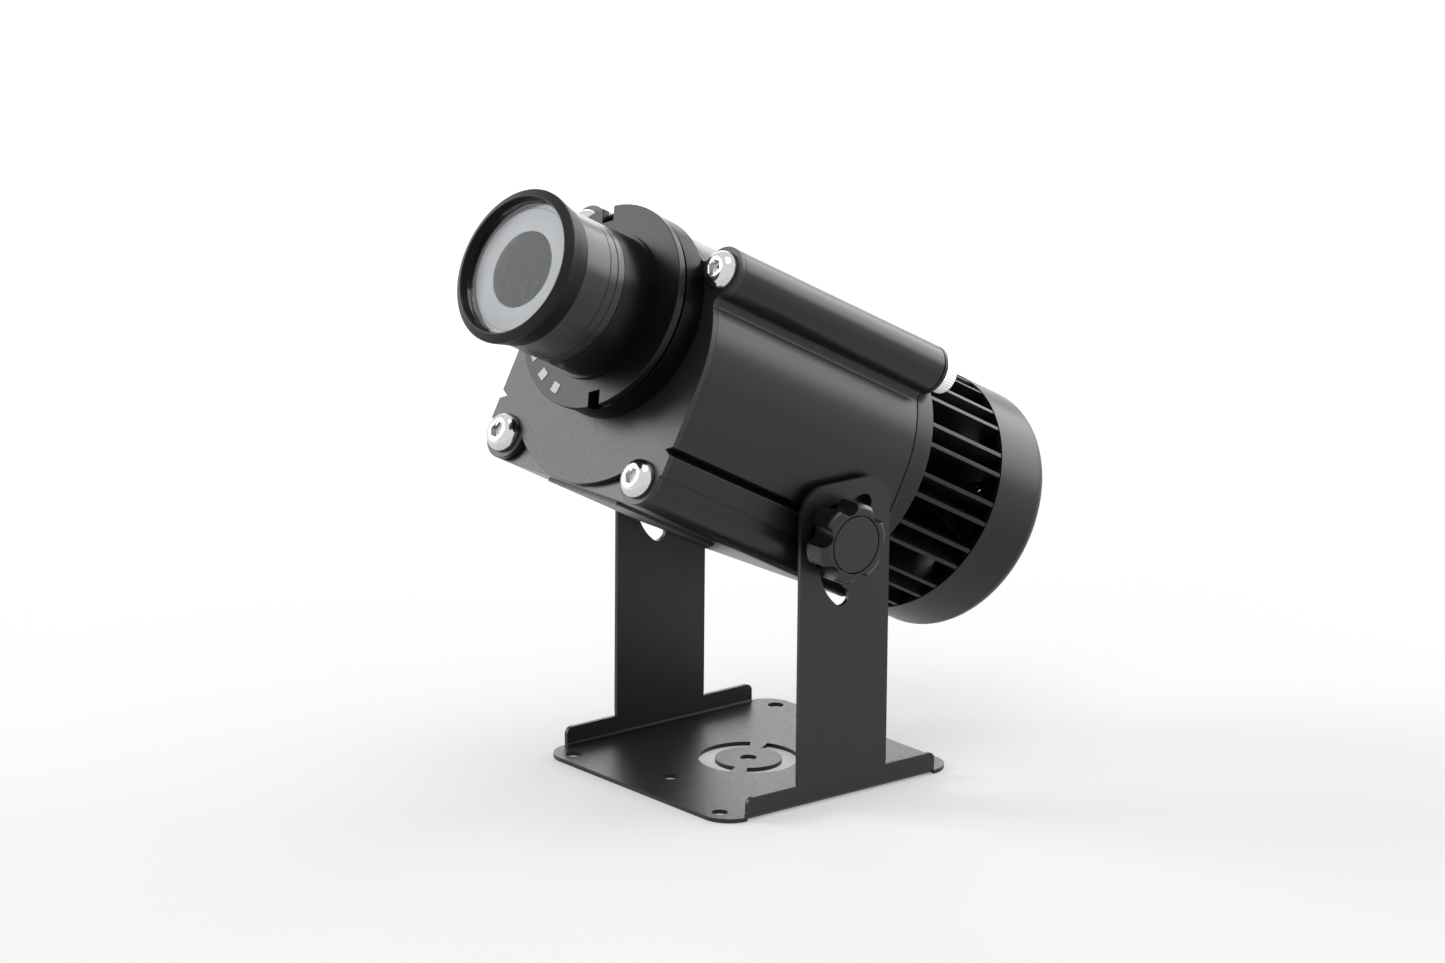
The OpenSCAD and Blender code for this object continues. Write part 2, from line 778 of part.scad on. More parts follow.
module base_outline() {
    difference() {
        round_rect(-base_w / 2, base_w / 2, -base_l / 2, base_l / 2, base_corner_r);
        for (side = [1, -1]) {
            translate([side * base_w / 2 - bend_r, -flange_l / 2]) square([2 * bend_r, flange_l]);
        }
        circle(d = centre_hole_d);
        for (x = [-1, 1], y = [-1, 1]) {
            translate([x * (base_w / 2 - fix_in_x), y * (base_l / 2 - fix_in_y)]) circle(d = fix_hole_d);
        }
        for (y = [-1, 1]) translate([0, y * mid_hole_span / 2]) circle(d = fix_hole_d);
        for (start = [pan_bridge_at, pan_bridge_at + 180]) {
            arc_slot(pan_slot_r, pan_slot_w, start + pan_bridge / 2, start + 180 - pan_bridge / 2);
        }
    }
}

module arm_outline() {
    difference() {
        union() {
            round_rect(-flange_l / 2, flange_l / 2, bend_r - flange_corner_r, flange_h, flange_corner_r);
            round_rect(-arm_w / 2, arm_w / 2, 0, arm_top, arm_corner_r);
        }
        translate([-base_l, bend_r - base_l]) square([2 * base_l, base_l]);
        translate([pivot_y, pivot_z]) {
            circle(stud_r + running_fit);
            arc_slot(clamp_r, slot_w, slot_from, slot_to);
            for (a = [slot_from, slot_to]) rotate(a) translate([clamp_r, 0]) circle(slot_w / 2 - edge_step);
        }
    }
}

module bend() {
    translate([base_w / 2 - bend_r, flange_l / 2, bend_r]) rotate([90, 0, 0]) linear_extrude(flange_l) {
        intersection() {
            difference() {
                circle(bend_r);
                circle(bend_r - sheet_t);
            }
            translate([0, -bend_r]) square(bend_r);
        }
    }
}

module yoke() {
    color([0.13, 0.13, 0.14]) {
        linear_extrude(sheet_t) base_outline();
        both_sides() {
            bend();
            translate([base_w / 2 - sheet_t, 0, 0]) rotate([90, 0, 90]) linear_extrude(sheet_t) arm_outline();
        }
    }
}

// Pivot screws, spacers and clamp knobs

module pivot_screws() {
    color([0.2, 0.2, 0.21]) at_pivot() both_sides() {
        cross_rod(core_r - side_hole_l + cut, arm_face + face_gap, stud_r);
        difference() {
            cross_rod(arm_face + face_gap, arm_face + face_gap + pivot_head_h, pivot_head_d / 2);
            translate([arm_face + face_gap + pivot_head_h / 2, 0, 0]) rotate([0, 90, 0])
                cylinder(h = pivot_head_h, d = pivot_hex, $fn = 6);
        }
    }
}

module spacer_pair() {
    both_sides() difference() {
        cross_rod(core_r, core_r + side_gap - face_gap, spacer_d / 2);
        cross_rod(core_r - cut, core_r + side_gap + cut, stud_r + running_fit);
    }
}

module pivot_spacers() {
    color([0.75, 0.75, 0.72]) at_pivot() spacer_pair();
}

module clamp_spacers() {
    color([0.75, 0.75, 0.72]) at_clamp() spacer_pair();
}

knob_x = arm_face + face_gap + knob_washer_t;
knob_lobe_x = knob_x + knob_hub_h;
knob_face_x = knob_lobe_x + knob_t;
stud_head_x = knob_lobe_x + knob_floor;

module knob_outline() {
    difference() {
        circle(d = knob_d);
        for (i = [0 : knob_lobes - 1]) {
            rotate(knob_turn + (i + 0.5) * 360 / knob_lobes)
                translate([knob_d / 2 + knob_scallop_out, 0]) circle(knob_scallop_r);
        }
    }
}

module knob() {
    color([0.08, 0.08, 0.085]) at_clamp() difference() {
        union() {
            cross_rod(knob_x, knob_lobe_x + cut, knob_hub_d / 2);
            intersection() {
                translate([knob_lobe_x, 0, 0]) rotate([0, 90, 0]) linear_extrude(knob_t) knob_outline();
                translate([knob_lobe_x, 0, 0]) rotate([0, 90, 0]) rotate_extrude() polygon(concat(
                    [[0, 0], [knob_d / 2 - knob_back_edge, 0], [knob_d / 2, knob_back_edge]],
                    rounded_edge(knob_d / 2, knob_face_d / 2, knob_t - knob_round_h, knob_t),
                    [[0, knob_t]]
                ));
            }
        }
        cross_rod(knob_face_x - knob_cap_t - fit, knob_face_x + cut, knob_cap_d / 2 + 2 * face_gap);
        cross_rod(knob_x - cut, knob_face_x, stud_r + fit);
        cross_rod(stud_head_x - fit, knob_face_x, stud_head_d / 2 + fit);
    }
}

module knob_cap() {
    color([0.1, 0.1, 0.105]) at_clamp()
        cross_rod(knob_face_x - knob_cap_t, knob_face_x, knob_cap_d / 2);
}

module knob_stud() {
    color([0.6, 0.6, 0.6]) at_clamp() {
        cross_rod(core_r - side_hole_l + cut, stud_head_x, stud_r);
        cross_rod(stud_head_x, stud_head_x + stud_head_h, stud_head_d / 2);
    }
}

module knob_washer() {
    color([0.65, 0.65, 0.65]) at_clamp() difference() {
        cross_rod(arm_face + face_gap, knob_x, knob_washer_d / 2);
        cross_rod(arm_face - cut, knob_x + cut, stud_r + fit);
    }
}

// Housing and front plate

// Centre of the circle of radius f that touches two circles from outside
function touch_centre(c1, r1, c2, r2, f, side) =
    let (d = norm(c2 - c1),
         u = (c2 - c1) / d,
         a = (pow(r1 + f, 2) - pow(r2 + f, 2) + d * d) / (2 * d),
         h = sqrt(pow(r1 + f, 2) - a * a))
    c1 + u * a + side * h * [-u[1], u[0]];

module boss_web(centre, side) {
    f = touch_centre([0, 0], core_r, centre, boss_r, boss_fillet_r, side);
    difference() {
        polygon(side > 0 ? [[0, 0], centre, f] : [[0, 0], f, centre]);
        translate(f) circle(boss_fillet_r);
    }
}

module core_and_bosses() {
    circle(core_r);
    for (x = [-1, 1], z = [-1, 1]) translate([x * boss_x, z * boss_z]) circle(boss_r);
    for (x = [-1, 1], side = [-1, 1]) boss_web([x * boss_x, boss_z], side);
    for (x = [-1, 1]) boss_web([x * boss_x, -boss_z], x);
}

// Flat sides from the core down to the crease, and the lobe's side below it
module side_flats(inner) {
    for (x = [-1, 1]) {
        translate([min(x * inner, x * core_r), -core_rise - crease_drop])
            square([core_r - inner, core_rise + crease_drop]);
        translate([min(x * inner, x * (boss_x + boss_r)), -boss_z])
            square([boss_x + boss_r - inner, boss_z - core_rise]);
    }
}

module side_grooves() {
    mouth = groove_w / 2 * (1 + cut / groove_depth);
    for (turn = [0, 180]) translate([0, groove_rise - core_rise]) rotate(turn) polygon([
        [core_r - groove_depth, 0],
        [core_r + cut, -mouth],
        [core_r + cut, mouth]
    ]);
}

module boss_holes(r) {
    for (x = [-1, 1], z = [-1, 1]) translate([x * boss_x, z * boss_z]) circle(r);
}

board_slot_x = board_w / 2 + 2 * fit;

module board_rails() {
    for (x = [-1, 1]) translate([x * (board_slot_x + rail_w / 2), board_rise - core_rise + board_t / 2])
        square([2 * rail_w, board_t + 2 * rail_h], center = true);
}

module board_slots() {
    translate([-board_slot_x, board_rise - core_rise - fit]) square([2 * board_slot_x, board_t + 2 * fit]);
}

module housing_outline() {
    difference() {
        union() {
            difference() {
                union() {
                    core_and_bosses();
                    side_flats(boss_x);
                    translate([-boss_x, bottom_z - core_rise]) square([2 * boss_x, boss_r + boss_z]);
                }
                circle(bore_r);
            }
            intersection() {
                circle(bore_r + cut);
                board_rails();
            }
        }
        board_slots();
        side_grooves();
        boss_holes(corner_screw_d / 2 + fit);
    }
}

cover_y = plate_y + cover_set_back;
cover_screw_in = cover_rim / 2;

module housing() {
    color([0.12, 0.12, 0.125]) difference() {
        on_core() slab(housing_y, sink_y) housing_outline();
        at_pivot() both_sides() cross_rod(core_r - side_hole_l, core_r + cut, stud_r + running_fit);
        at_clamp() both_sides() cross_rod(core_r - side_hole_l, core_r + cut, stud_r + running_fit);
        in_head() {
            translate([-cover_w / 2 + cover_rim, cover_y + cover_rim, bottom_z - cut])
                cube([cover_w - 2 * cover_rim, cover_l - 2 * cover_rim, core_wall + 3 * cut]);
            cover_screw_places() translate([0, 0, bottom_z - cut])
                cylinder(h = core_wall + cut, r = small_r + fit);
        }
    }
}

module cover_screw_places() {
    for (x = [-1, 1], y = [cover_screw_in, cover_l - cover_screw_in]) {
        translate([x * (cover_w / 2 - cover_screw_in), cover_y + y, 0]) children();
    }
}

module bottom_cover() {
    color([0.09, 0.09, 0.095]) in_head() difference() {
        translate([0, 0, bottom_z - cover_t]) linear_extrude(cover_t)
            round_rect(-cover_w / 2, cover_w / 2, cover_y, cover_y + cover_l, cover_corner_r);
        cover_screw_places() translate([0, 0, bottom_z - cover_t - cut]) {
            cylinder(h = cover_t + 2 * cut, r = small_r + fit);
            cylinder(h = cut + cover_head_h, r = small_head_d / 2 + fit);
        }
    }
}

module bottom_cover_screws() {
    seat = bottom_z - cover_t + cover_head_h;
    color([0.25, 0.25, 0.26]) in_head() cover_screw_places() translate([0, 0, seat]) rotate([-90, 0, 0]) {
        rod(-cover_screw_l, 0, small_r);
        mirror([0, 1, 0])
            round_head(0, small_head_d / 2, cover_head_h, small_head_d / 2 - edge_break, small_hex / 2);
    }
}

plate_inner = bore_r - boss_r;

// The housing's outline without its bore, which the front plate and the rear flange's ears share
module plate_outline() {
    difference() {
        union() {
            core_and_bosses();
            side_flats(plate_inner);
        }
        side_grooves();
        boss_holes(corner_screw_d / 2 + screw_play);
    }
}

module front_plate() {
    color([0.3, 0.3, 0.31]) difference() {
        on_core() slab(plate_y, housing_y) plate_outline();
        on_lens() rod(plate_y - cut, housing_y + cut, gobo_door_d / 2);
        on_lens() around(4, collar_screw_r, 45) rod(plate_y - cut, housing_y + cut, small_r + fit);
    }
}

module front_screws() {
    color([0.8, 0.8, 0.82]) on_core() for (x = [-1, 1], z = [-1, 1]) translate([x * boss_x, 0, z * boss_z]) {
        rod(plate_y, plate_y + front_screw_l, corner_screw_d / 2);
        round_head(plate_y, button_d / 2, button_h, button_flat_d / 2, button_hex / sqrt(3));
    }
}

// Lens collar and turning flange

module bayonet_sectors(radius, width, first) {
    for (i = [0 : lugs - 1]) {
        sector(radius, first + i * 360 / lugs - width / 2, first + i * 360 / lugs + width / 2);
    }
}

module lens_collar() {
    color([0.14, 0.14, 0.145]) on_lens() difference() {
        rod(collar_y, plate_y, collar_d / 2);
        rod(collar_y - cut, plate_y + cut, gobo_door_d / 2);
        rod(collar_y - cut, chamber_back_y, neck_d / 2 + running_fit);
        rod(chamber_front_y, chamber_back_y, chamber_r);
        slab(collar_y - cut, chamber_front_y + cut) intersection() {
            circle(chamber_r);
            bayonet_sectors(2 * chamber_r, lug_deg + slot_extra, lug_at + lock_turn);
        }
        around(4, collar_screw_r, 45) rod(chamber_back_y - cut, plate_y + cut, small_r + fit);
    }
}

module collar_screws() {
    color([0.6, 0.6, 0.6]) on_lens() around(4, collar_screw_r, 45) {
        rod(chamber_back_y + face_gap, holder_back_y, small_r);
        mirror([0, 1, 0]) small_head(-holder_back_y);
    }
}

module lens_flange() {
    color([0.16, 0.16, 0.165]) on_lens() difference() {
        union() {
            slab(disc_y, disc_back_y) difference() {
                circle(d = disc_d);
                for (a = [notch_at, notch_at + 180]) rotate(a)
                    translate([disc_d / 2 - notch_depth, -notch_w / 2]) square([2 * notch_depth, notch_w]);
            }
            rod(disc_back_y - cut / 2, neck_end_y, neck_d / 2);
            slab(lug_front_y, neck_end_y) intersection() {
                circle(d = lug_d);
                bayonet_sectors(lug_d, lug_deg, lug_at);
            }
        }
        rod(disc_y - cut, neck_end_y + cut, tube_d / 2 + fit);
    }
}

module index_marks() {
    color([0.95, 0.95, 0.95]) on_lens() for (step = [-1, 0, 1]) {
        rotate([0, -mark_at - step * lock_turn / 2, 0])
            translate([disc_d / 2 - mark_in - mark_w / 2, disc_y - mark_t, -mark_w / 2])
                cube([mark_w, mark_t, mark_w]);
    }
}

// Lens tube, focus ring, barrel and bezel

module lens_tube() {
    color([0.1, 0.1, 0.105]) on_lens() difference() {
        union() {
            rod(tube_y, neck_end_y, tube_d / 2);
            rod(disc_y - step_t, disc_y, step_d / 2);
            rod(tube_y - spigot_l, tube_y + cut, spigot_d / 2);
        }
        rod(tube_y - spigot_l - cut, tube_lip_y, tube_bore_d / 2);
        rod(tube_lip_y - cut, rear_lens_y + cut, tube_bore_d / 2 - lock_ring_w);
        rod(rear_lens_y, neck_end_y + cut, tube_bore_d / 2);
        translate([0, key_y, 0]) cylinder(h = tube_d, d = key_d + 2 * fit);
    }
}

key_y = tube_y + key_in;
key_sunk = 0.3;
key_top = tube_d / 2 - key_sunk;
keyway_z = sleeve_d / 2 - key_reach - sleeve_play;

module focus_key_screw() {
    color([0.3, 0.3, 0.3]) on_lens()
        translate([0, key_y, sleeve_d / 2 - key_reach])
            cylinder(h = key_top - sleeve_d / 2 + key_reach, d = key_d);
}

// A lens along y: a flat-faced edge, with a crown inside it to the front and to the back
module lens(y0, edge, radius, rim, front_crown, back_crown) {
    steps = 8;
    function crown(h) = h == 0 ? [[0, 0]]
        : [for (i = [0 : steps]) [(radius - rim) * i / steps, h * (1 - pow(i / steps, 2))]];
    front = crown(front_crown);
    back = crown(back_crown);
    turned(concat(
        [for (p = front) [p[0], y0 - p[1]]],
        [[radius, y0], [radius, y0 + edge]],
        [for (i = [len(back) - 1 : -1 : 0]) [back[i][0], y0 + edge + back[i][1]]]
    ));
}

module rear_lens() {
    color([0.75, 0.8, 0.85, 0.5]) on_lens()
        lens(rear_lens_y, inner_lens_t, tube_bore_d / 2 - fit, lens_rim, 0, inner_lens_crown);
}

rear_ring_y = rear_lens_y + inner_lens_t;

module rear_lens_lock_ring() {
    color([0.1, 0.1, 0.1]) on_lens()
        tube(rear_ring_y, rear_ring_y + lock_ring_l, tube_bore_d / 2 - fit, tube_bore_d / 2 - lock_ring_w);
}

module focus_ring() {
    color([0.12, 0.12, 0.125]) on_lens() difference() {
        rod(ring_y, ring_back_y, tube_d / 2);
        rod(ring_y - cut, ring_back_y + cut, sleeve_d / 2 + running_fit);
        rod(tube_y - spigot_l - seam, ring_back_y + cut, spigot_d / 2 + running_fit);
        tube(tube_y - spigot_l - seam, tube_y - spigot_l + seam, tube_d / 2 + cut, tube_d / 2 - ring_line);
    }
}

module lens_barrel() {
    color([0.11, 0.11, 0.115]) on_lens() difference() {
        union() {
            rod(barrel_y, barrel_back_y, tube_d / 2);
            rod(barrel_back_y - cut, sleeve_end_y, sleeve_d / 2);
            rod(lens_back_y + fit, barrel_y + cut, front_lens_d / 2 - fit);
        }
        rod(lens_back_y - cut, stop_y + stop_l, stop_bore_r);
        rod(stop_y, sleeve_lip_y, sleeve_bore_d / 2 - sleeve_lip_w);
        rod(sleeve_lip_y - cut, middle_lens_y + cut, sleeve_bore_d / 2 - sleeve_lip_w);
        rod(middle_lens_y, sleeve_end_y + cut, sleeve_bore_d / 2);
        translate([-key_d / 2 - fit, sleeve_end_y - key_l, keyway_z])
            cube([key_d + 2 * fit, key_l + cut, sleeve_wall]);
    }
}

module bezel_ring() {
    neck_y = bezel_y + (bezel_front_l + bezel_l) / 2;
    color([0.07, 0.07, 0.075]) on_lens() turned([
        [bezel_lip_d / 2, bezel_y + bezel_dish],
        [bezel_d / 2 - 2 * bezel_edge, bezel_y],
        [bezel_d / 2 - bezel_edge, bezel_y],
        [bezel_d / 2, bezel_y + bezel_edge],
        [bezel_d / 2, bezel_y + bezel_front_l],
        [(bezel_d + bezel_rear_d) / 4 - bezel_edge / 4, neck_y - bezel_edge],
        [bezel_rear_d / 2, bezel_back_y],
        [bezel_bore_d / 2, bezel_back_y],
        [bezel_bore_d / 2, lens_front_y],
        [bezel_lip_d / 2, lens_front_y]
    ]);
}

module front_lens() {
    color([0.7, 0.75, 0.78, 0.5]) on_lens()
        lens(lens_front_y, front_lens_t, front_lens_d / 2, front_rim, front_lens_crown, 0);
}

module lens_stop() {
    outer = stop_bore_r - fit;
    color([0.45, 0.45, 0.46]) on_lens() turned([
        [outer, stop_y],
        [outer, stop_y + stop_l - fit],
        [stop_d / 2, stop_y + stop_l - fit],
        [stop_d / 2, stop_y + stop_cone],
        [outer - stop_edge, stop_y]
    ]);
}

module middle_lens() {
    color([0.75, 0.8, 0.85, 0.5]) on_lens()
        lens(middle_lens_y, inner_lens_t, sleeve_bore_d / 2 - fit, lens_rim, 0, inner_lens_crown);
}

module middle_lens_lock_ring() {
    y = middle_lens_y + inner_lens_t;
    color([0.1, 0.1, 0.1]) on_lens()
        tube(y, y + lock_ring_l, sleeve_bore_d / 2 - fit, sleeve_bore_d / 2 - lock_ring_w);
}

// Gobo, condenser and LED

module gobo_holder() {
    color([0.25, 0.25, 0.26]) on_lens() difference() {
        rod(housing_y, holder_back_y, gobo_holder_d / 2);
        rod(housing_y - cut, seat_y, gobo_d / 2 + fit);
        rod(housing_y, holder_back_y + cut, gobo_open_d / 2);
        around(4, collar_screw_r, 45) rod(housing_y - cut, holder_back_y + cut, small_r + fit);
    }
}

module gobo() {
    color([0.35, 0.4, 0.5, 0.6]) on_lens() rod(seat_y - gobo_t, seat_y, gobo_d / 2);
}

module gobo_clip() {
    front = seat_y - gobo_t - clip_t;
    color([0.7, 0.7, 0.72]) on_lens() difference() {
        tube(front, seat_y - gobo_t, gobo_d / 2, gobo_d / 2 - clip_w);
        translate([0, front - cut, -clip_gap / 2]) cube([gobo_d, clip_t + 2 * cut, clip_gap]);
    }
}

module condenser_tube() {
    color([0.2, 0.2, 0.21]) on_lens() difference() {
        union() {
            rod(holder_back_y, sink_y, cond_d / 2);
            rod(sink_y - cond_foot_t, sink_y, cond_foot_d / 2);
        }
        rod(holder_back_y - cut, cond_lip_y, cond_bore_d / 2);
        rod(cond_lip_y - cut, cond_lip_y + cond_lip_t + cut, cond_bore_d / 2 - cond_lip_w);
        rod(cond_lip_y + cond_lip_t, sink_y + cut, cond_bore_d / 2);
        around(4, cond_screw_r, 45) rod(sink_y - cond_foot_t - cut, sink_y + cut, small_r + fit);
    }
}

module condenser_tube_screws() {
    color([0.6, 0.6, 0.6]) on_lens() around(4, cond_screw_r, 45) {
        rod(sink_y - cond_foot_t, sink_y + small_grip, small_r);
        small_head(sink_y - cond_foot_t);
    }
}

module condenser_lenses() {
    r = cond_bore_d / 2 - fit;
    color([0.8, 0.85, 0.9, 0.5]) on_lens() {
        lens(cond_lip_y - inner_lens_t, inner_lens_t, r, lens_rim, inner_lens_crown, 0);
        lens(cond_lip_y + cond_lip_t, inner_lens_t, r, lens_rim, 0, inner_lens_crown);
    }
}

module condenser_lock_rings() {
    r = cond_bore_d / 2 - fit;
    front = cond_lip_y - inner_lens_t;
    back = cond_lip_y + cond_lip_t + inner_lens_t;
    color([0.15, 0.15, 0.15]) on_lens() {
        tube(front - lock_ring_l, front, r, r - lock_ring_w);
        tube(back, back + lock_ring_l, r, r - lock_ring_w);
    }
}

module led_board() {
    color([0.9, 0.9, 0.88]) on_lens() rod(sink_y - led_board_t, sink_y, led_board_d / 2);
}

module led_light_field() {
    color([0.95, 0.85, 0.3]) on_lens()
        rod(sink_y - led_board_t - led_field_t, sink_y - led_board_t, led_field_d / 2);
}

module led_holder() {
    cone_r = led_field_d / 2 + led_cone_gap;
    color([0.9, 0.9, 0.9]) on_lens() difference() {
        rod(sink_y - led_holder_h, sink_y, led_holder_d / 2);
        rod(sink_y - led_board_t - fit, sink_y + cut, led_board_d / 2 + 2 * fit);
        taper(sink_y - led_holder_h - cut, sink_y - led_board_t + cut, cone_r + led_cone_w, cone_r);
        around(2, led_screw_r) rod(sink_y - led_holder_h - cut, sink_y + cut, small_r + fit);
    }
}

module led_screws() {
    color([0.6, 0.6, 0.6]) on_lens() around(2, led_screw_r) {
        rod(sink_y - led_holder_h, sink_y + small_grip, small_r);
        head_r = led_head_d / 2;
        round_head(sink_y - led_holder_h, head_r, small_head_h, head_r - edge_break, small_hex / 2);
    }
}

// Driver, on a board held in the housing's card slots

board_y = (housing_y + sink_y - board_l) / 2;
board_top = board_rise + board_t;
can_x = coil_w / 2 + part_step + can_d / 2;
chip_y = board_y + part_gap + coil_l + part_gap;

module driver_board() {
    color([0.1, 0.35, 0.15]) in_head()
        translate([-board_w / 2, board_y, board_rise]) cube([board_w, board_l, board_t]);
}

// A can that stands on the board at each side
module cans(y, d, h) {
    for (x = [-can_x, can_x]) translate([x, y, board_top]) cylinder(h = h, d = d);
}

module driver_components() {
    color([0.2, 0.2, 0.22]) in_head() {
        translate([-coil_w / 2, board_y + part_gap, board_top]) cube([coil_w, coil_l, coil_h]);
        for (x = [-can_x, can_x - chip_w]) translate([x, chip_y, board_top]) cube([chip_w, chip_l, chip_h]);
        translate([-plug_w / 2, board_y + board_l - plug_l - part_gap / 2, board_top])
            cube([plug_w, plug_l, plug_h]);
        cans(board_y + part_gap + coil_l / 2, can_d, can_h);
        cans(chip_y + chip_l + part_gap + small_can_d / 2, small_can_d, small_can_h);
    }
}

// Heat sink, rear cap and fan

module forked_fin() {
    tip = fin_span / 2 * [cos(fin_fork / 2), sin(fin_fork / 2)];
    lean = atan2(tip[1], tip[0] - fin_fork_r);
    reach = norm(tip - [fin_fork_r, 0]) + fin_t;
    translate([0, -fin_t / 2]) square([fin_fork_r + fin_t, fin_t]);
    for (side = [-1, 1]) translate([fin_fork_r, 0]) rotate(side * lean)
        translate([0, -fin_t / 2]) square([reach, fin_t]);
}

module fin_outline(radius) {
    intersection() {
        circle(radius);
        union() {
            circle(d = fin_core_d);
            for (i = [0 : fins - 1]) rotate(i * 360 / fins) forked_fin();
            post_places() circle(d = post_d);
        }
    }
}

inlet_r = fan_w / 2 + inlet_gap + inlet_collar_d / 2;
post_angles = [96, 192, 288];
post_r = cap_bore_r - post_gap - post_d / 2;

module post_places() {
    for (a = post_angles) rotate(a) translate([post_r, 0]) children();
}

module sink_screw_places() {
    for (x = [-sink_screw_x, sink_screw_x]) translate([x, 0, -sink_screw_drop]) children();
}

module rear_flange() {
    head_y = sink_y + sink_sunk + sink_head_h;
    color([0.2, 0.2, 0.205]) difference() {
        on_core() {
            slab(sink_y, sink_y + ear_t) plate_outline();
            rod(sink_y, fin_y, sink_base_d / 2);
        }
        on_core() sink_screw_places() {
            rod(sink_y - cut, head_y, sink_head_d / 2 + screw_play);
            rod(sink_y, fin_y + cut, sink_screw_d / 2 + screw_play);
        }
        on_lens() {
            around(4, cond_screw_r, 45) rod(sink_y - cut, sink_y + small_grip + cut, small_r + fit);
            around(2, led_screw_r) rod(sink_y - cut, sink_y + small_grip + cut, small_r + fit);
        }
    }
}

module heat_sink() {
    color([0.2, 0.2, 0.205]) on_core() difference() {
        union() {
            slab(fin_y, cap_y) fin_outline(fin_span / 2);
            slab(cap_y - cut, tip_y) fin_outline(cap_bore_r - 2 * fit);
        }
        for (a = post_angles) rotate([0, -a, 0]) translate([post_r, 0, 0])
            rod(tip_y - post_thread_l, tip_y + cut, small_r + fit);
        sink_screw_places() rod(fin_y - cut, fin_y + sink_screw_l, sink_screw_d / 2 + fit);
    }
}

module heat_sink_screws() {
    head_y = sink_y + sink_sunk + sink_head_h;
    color([0.6, 0.6, 0.6]) on_core() sink_screw_places() {
        rod(head_y, head_y + sink_screw_l, sink_screw_d / 2);
        round_head(head_y, sink_head_d / 2, sink_head_h, sink_head_d / 2 - edge_break, small_hex / 2);
    }
}

module rear_screws() {
    head_y = sink_y + ear_t + cap_head_h;
    color([0.8, 0.8, 0.8]) on_core() for (x = [-1, 1], z = [-1, 1]) translate([x * boss_x, 0, z * boss_z]) {
        rod(sink_y + ear_t - rear_screw_l, sink_y + ear_t, corner_screw_d / 2);
        difference() {
            turned([
                [0, sink_y + ear_t],
                [cap_head_d / 2, sink_y + ear_t],
                [cap_head_d / 2, head_y - edge_break],
                [cap_head_d / 2 - edge_break, head_y],
                [0, head_y]
            ]);
            translate([0, head_y + cut, 0]) rotate([90, 0, 0])
                cylinder(h = cap_head_h / 2 + cut, r = cap_hex / sqrt(3), $fn = 6);
        }
    }
}

fan_pitch = fan_w - 2 * fan_hole_in;
fan_bore_d = fan_w - 2 * fan_wall;
hub_r = fan_hub_d / 2;
vent_rings = floor((fan_bore_d / 2 - vent_first_r) / (vent_slot + vent_land));

module vent_outline() {
    difference() {
        for (i = [0 : vent_rings - 1]) {
            inner = vent_first_r + i * (vent_slot + vent_land);
            difference() {
                circle(inner + vent_slot);
                circle(inner);
            }
        }
        for (a = [0 : 60 : 120]) rotate(a + 30) square([fan_w, vent_spoke], center = true);
    }
}

module rear_cap() {
    color([0.24, 0.24, 0.245]) on_core() difference() {
        union() {
            difference() {
                union() {
                    rod(cap_y, back_y - cap_round_r, cap_r);
                    rod(back_y - cap_round_r - cut, back_y, cap_r - cap_round_r);
                    rotate([-90, 0, 0]) translate([0, 0, back_y - cap_round_r])
                        rotate_extrude() translate([cap_r - cap_round_r, 0]) intersection() {
                            circle(cap_round_r);
                            square(cap_round_r + cut);
                        }
                }
                rod(cap_y - cut, vent_y, cap_bore_r);
            }
            for (a = post_angles) rotate([0, -a, 0]) translate([post_r, 0, 0])
                rod(tip_y + fit, vent_y + cut, post_d / 2);
        }
        slab(vent_y - cut, back_y + cut) vent_outline();
        for (a = post_angles) rotate([0, -a, 0]) translate([post_r, 0, 0])
            rod(tip_y - cut, back_y + cut, small_r + fit);
        for (x = [-1, 1], z = [-1, 1]) translate([x * fan_pitch / 2, 0, z * fan_pitch / 2])
            rod(vent_y - cut, back_y + cut, fan_screw_d / 2 + 2 * fit);
        translate([0, 0, -inlet_r]) rod(vent_y - cut, back_y + cut, inlet_d / 2 + fit);
    }
}

module cap_screws() {
    color([0.3, 0.3, 0.3]) on_core() for (a = post_angles) rotate([0, -a, 0]) translate([post_r, 0, 0]) {
        rod(tip_y - post_grip, back_y, small_r);
        mirror([0, 1, 0])
            round_head(-back_y, cap_screw_head_d / 2, cap_screw_head_h, small_r, small_hex / 2);
    }
}

module fan_screws() {
    color([0.3, 0.3, 0.3]) on_core() for (x = [-1, 1], z = [-1, 1])
        translate([x * fan_pitch / 2, 0, z * fan_pitch / 2]) {
            rod(back_y - fan_screw_l, back_y, fan_screw_d / 2);
            mirror([0, 1, 0])
                round_head(-back_y, fan_head_d / 2, fan_head_h, fan_screw_d / 2, fan_hex / 2);
        }
}

rotor_back_y = vent_y - fan_strut_t - fan_gap / 2;
rotor_y = fan_y + fan_gap;
shaft_end_y = vent_y - fan_strut_t / 2;

module fan_frame() {
    w = fan_w / 2;
    color([0.06, 0.06, 0.06]) on_core() difference() {
        union() {
            slab(fan_y, vent_y) difference() {
                round_rect(-w, w, -w, w, fan_corner_r);
                circle(d = fan_bore_d);
                for (x = [-1, 1], z = [-1, 1]) translate([x, z] * fan_pitch / 2) circle(fan_screw_d / 2 + fit);
            }
            slab(vent_y - fan_strut_t, vent_y) intersection() {
                circle(d = fan_bore_d + cut);
                for (a = [45, 135]) rotate(a) square([fan_w, fan_strut_w], center = true);
            }
            rod(vent_y - fan_strut_t, vent_y, hub_r);
            rod(rotor_y + fan_cup_wall + fan_gap, vent_y, hub_r - fan_cup_wall - fan_gap);
        }
        rod(fan_y, shaft_end_y + fan_gap / 2, fan_shaft_d / 2 + running_fit);
    }
}

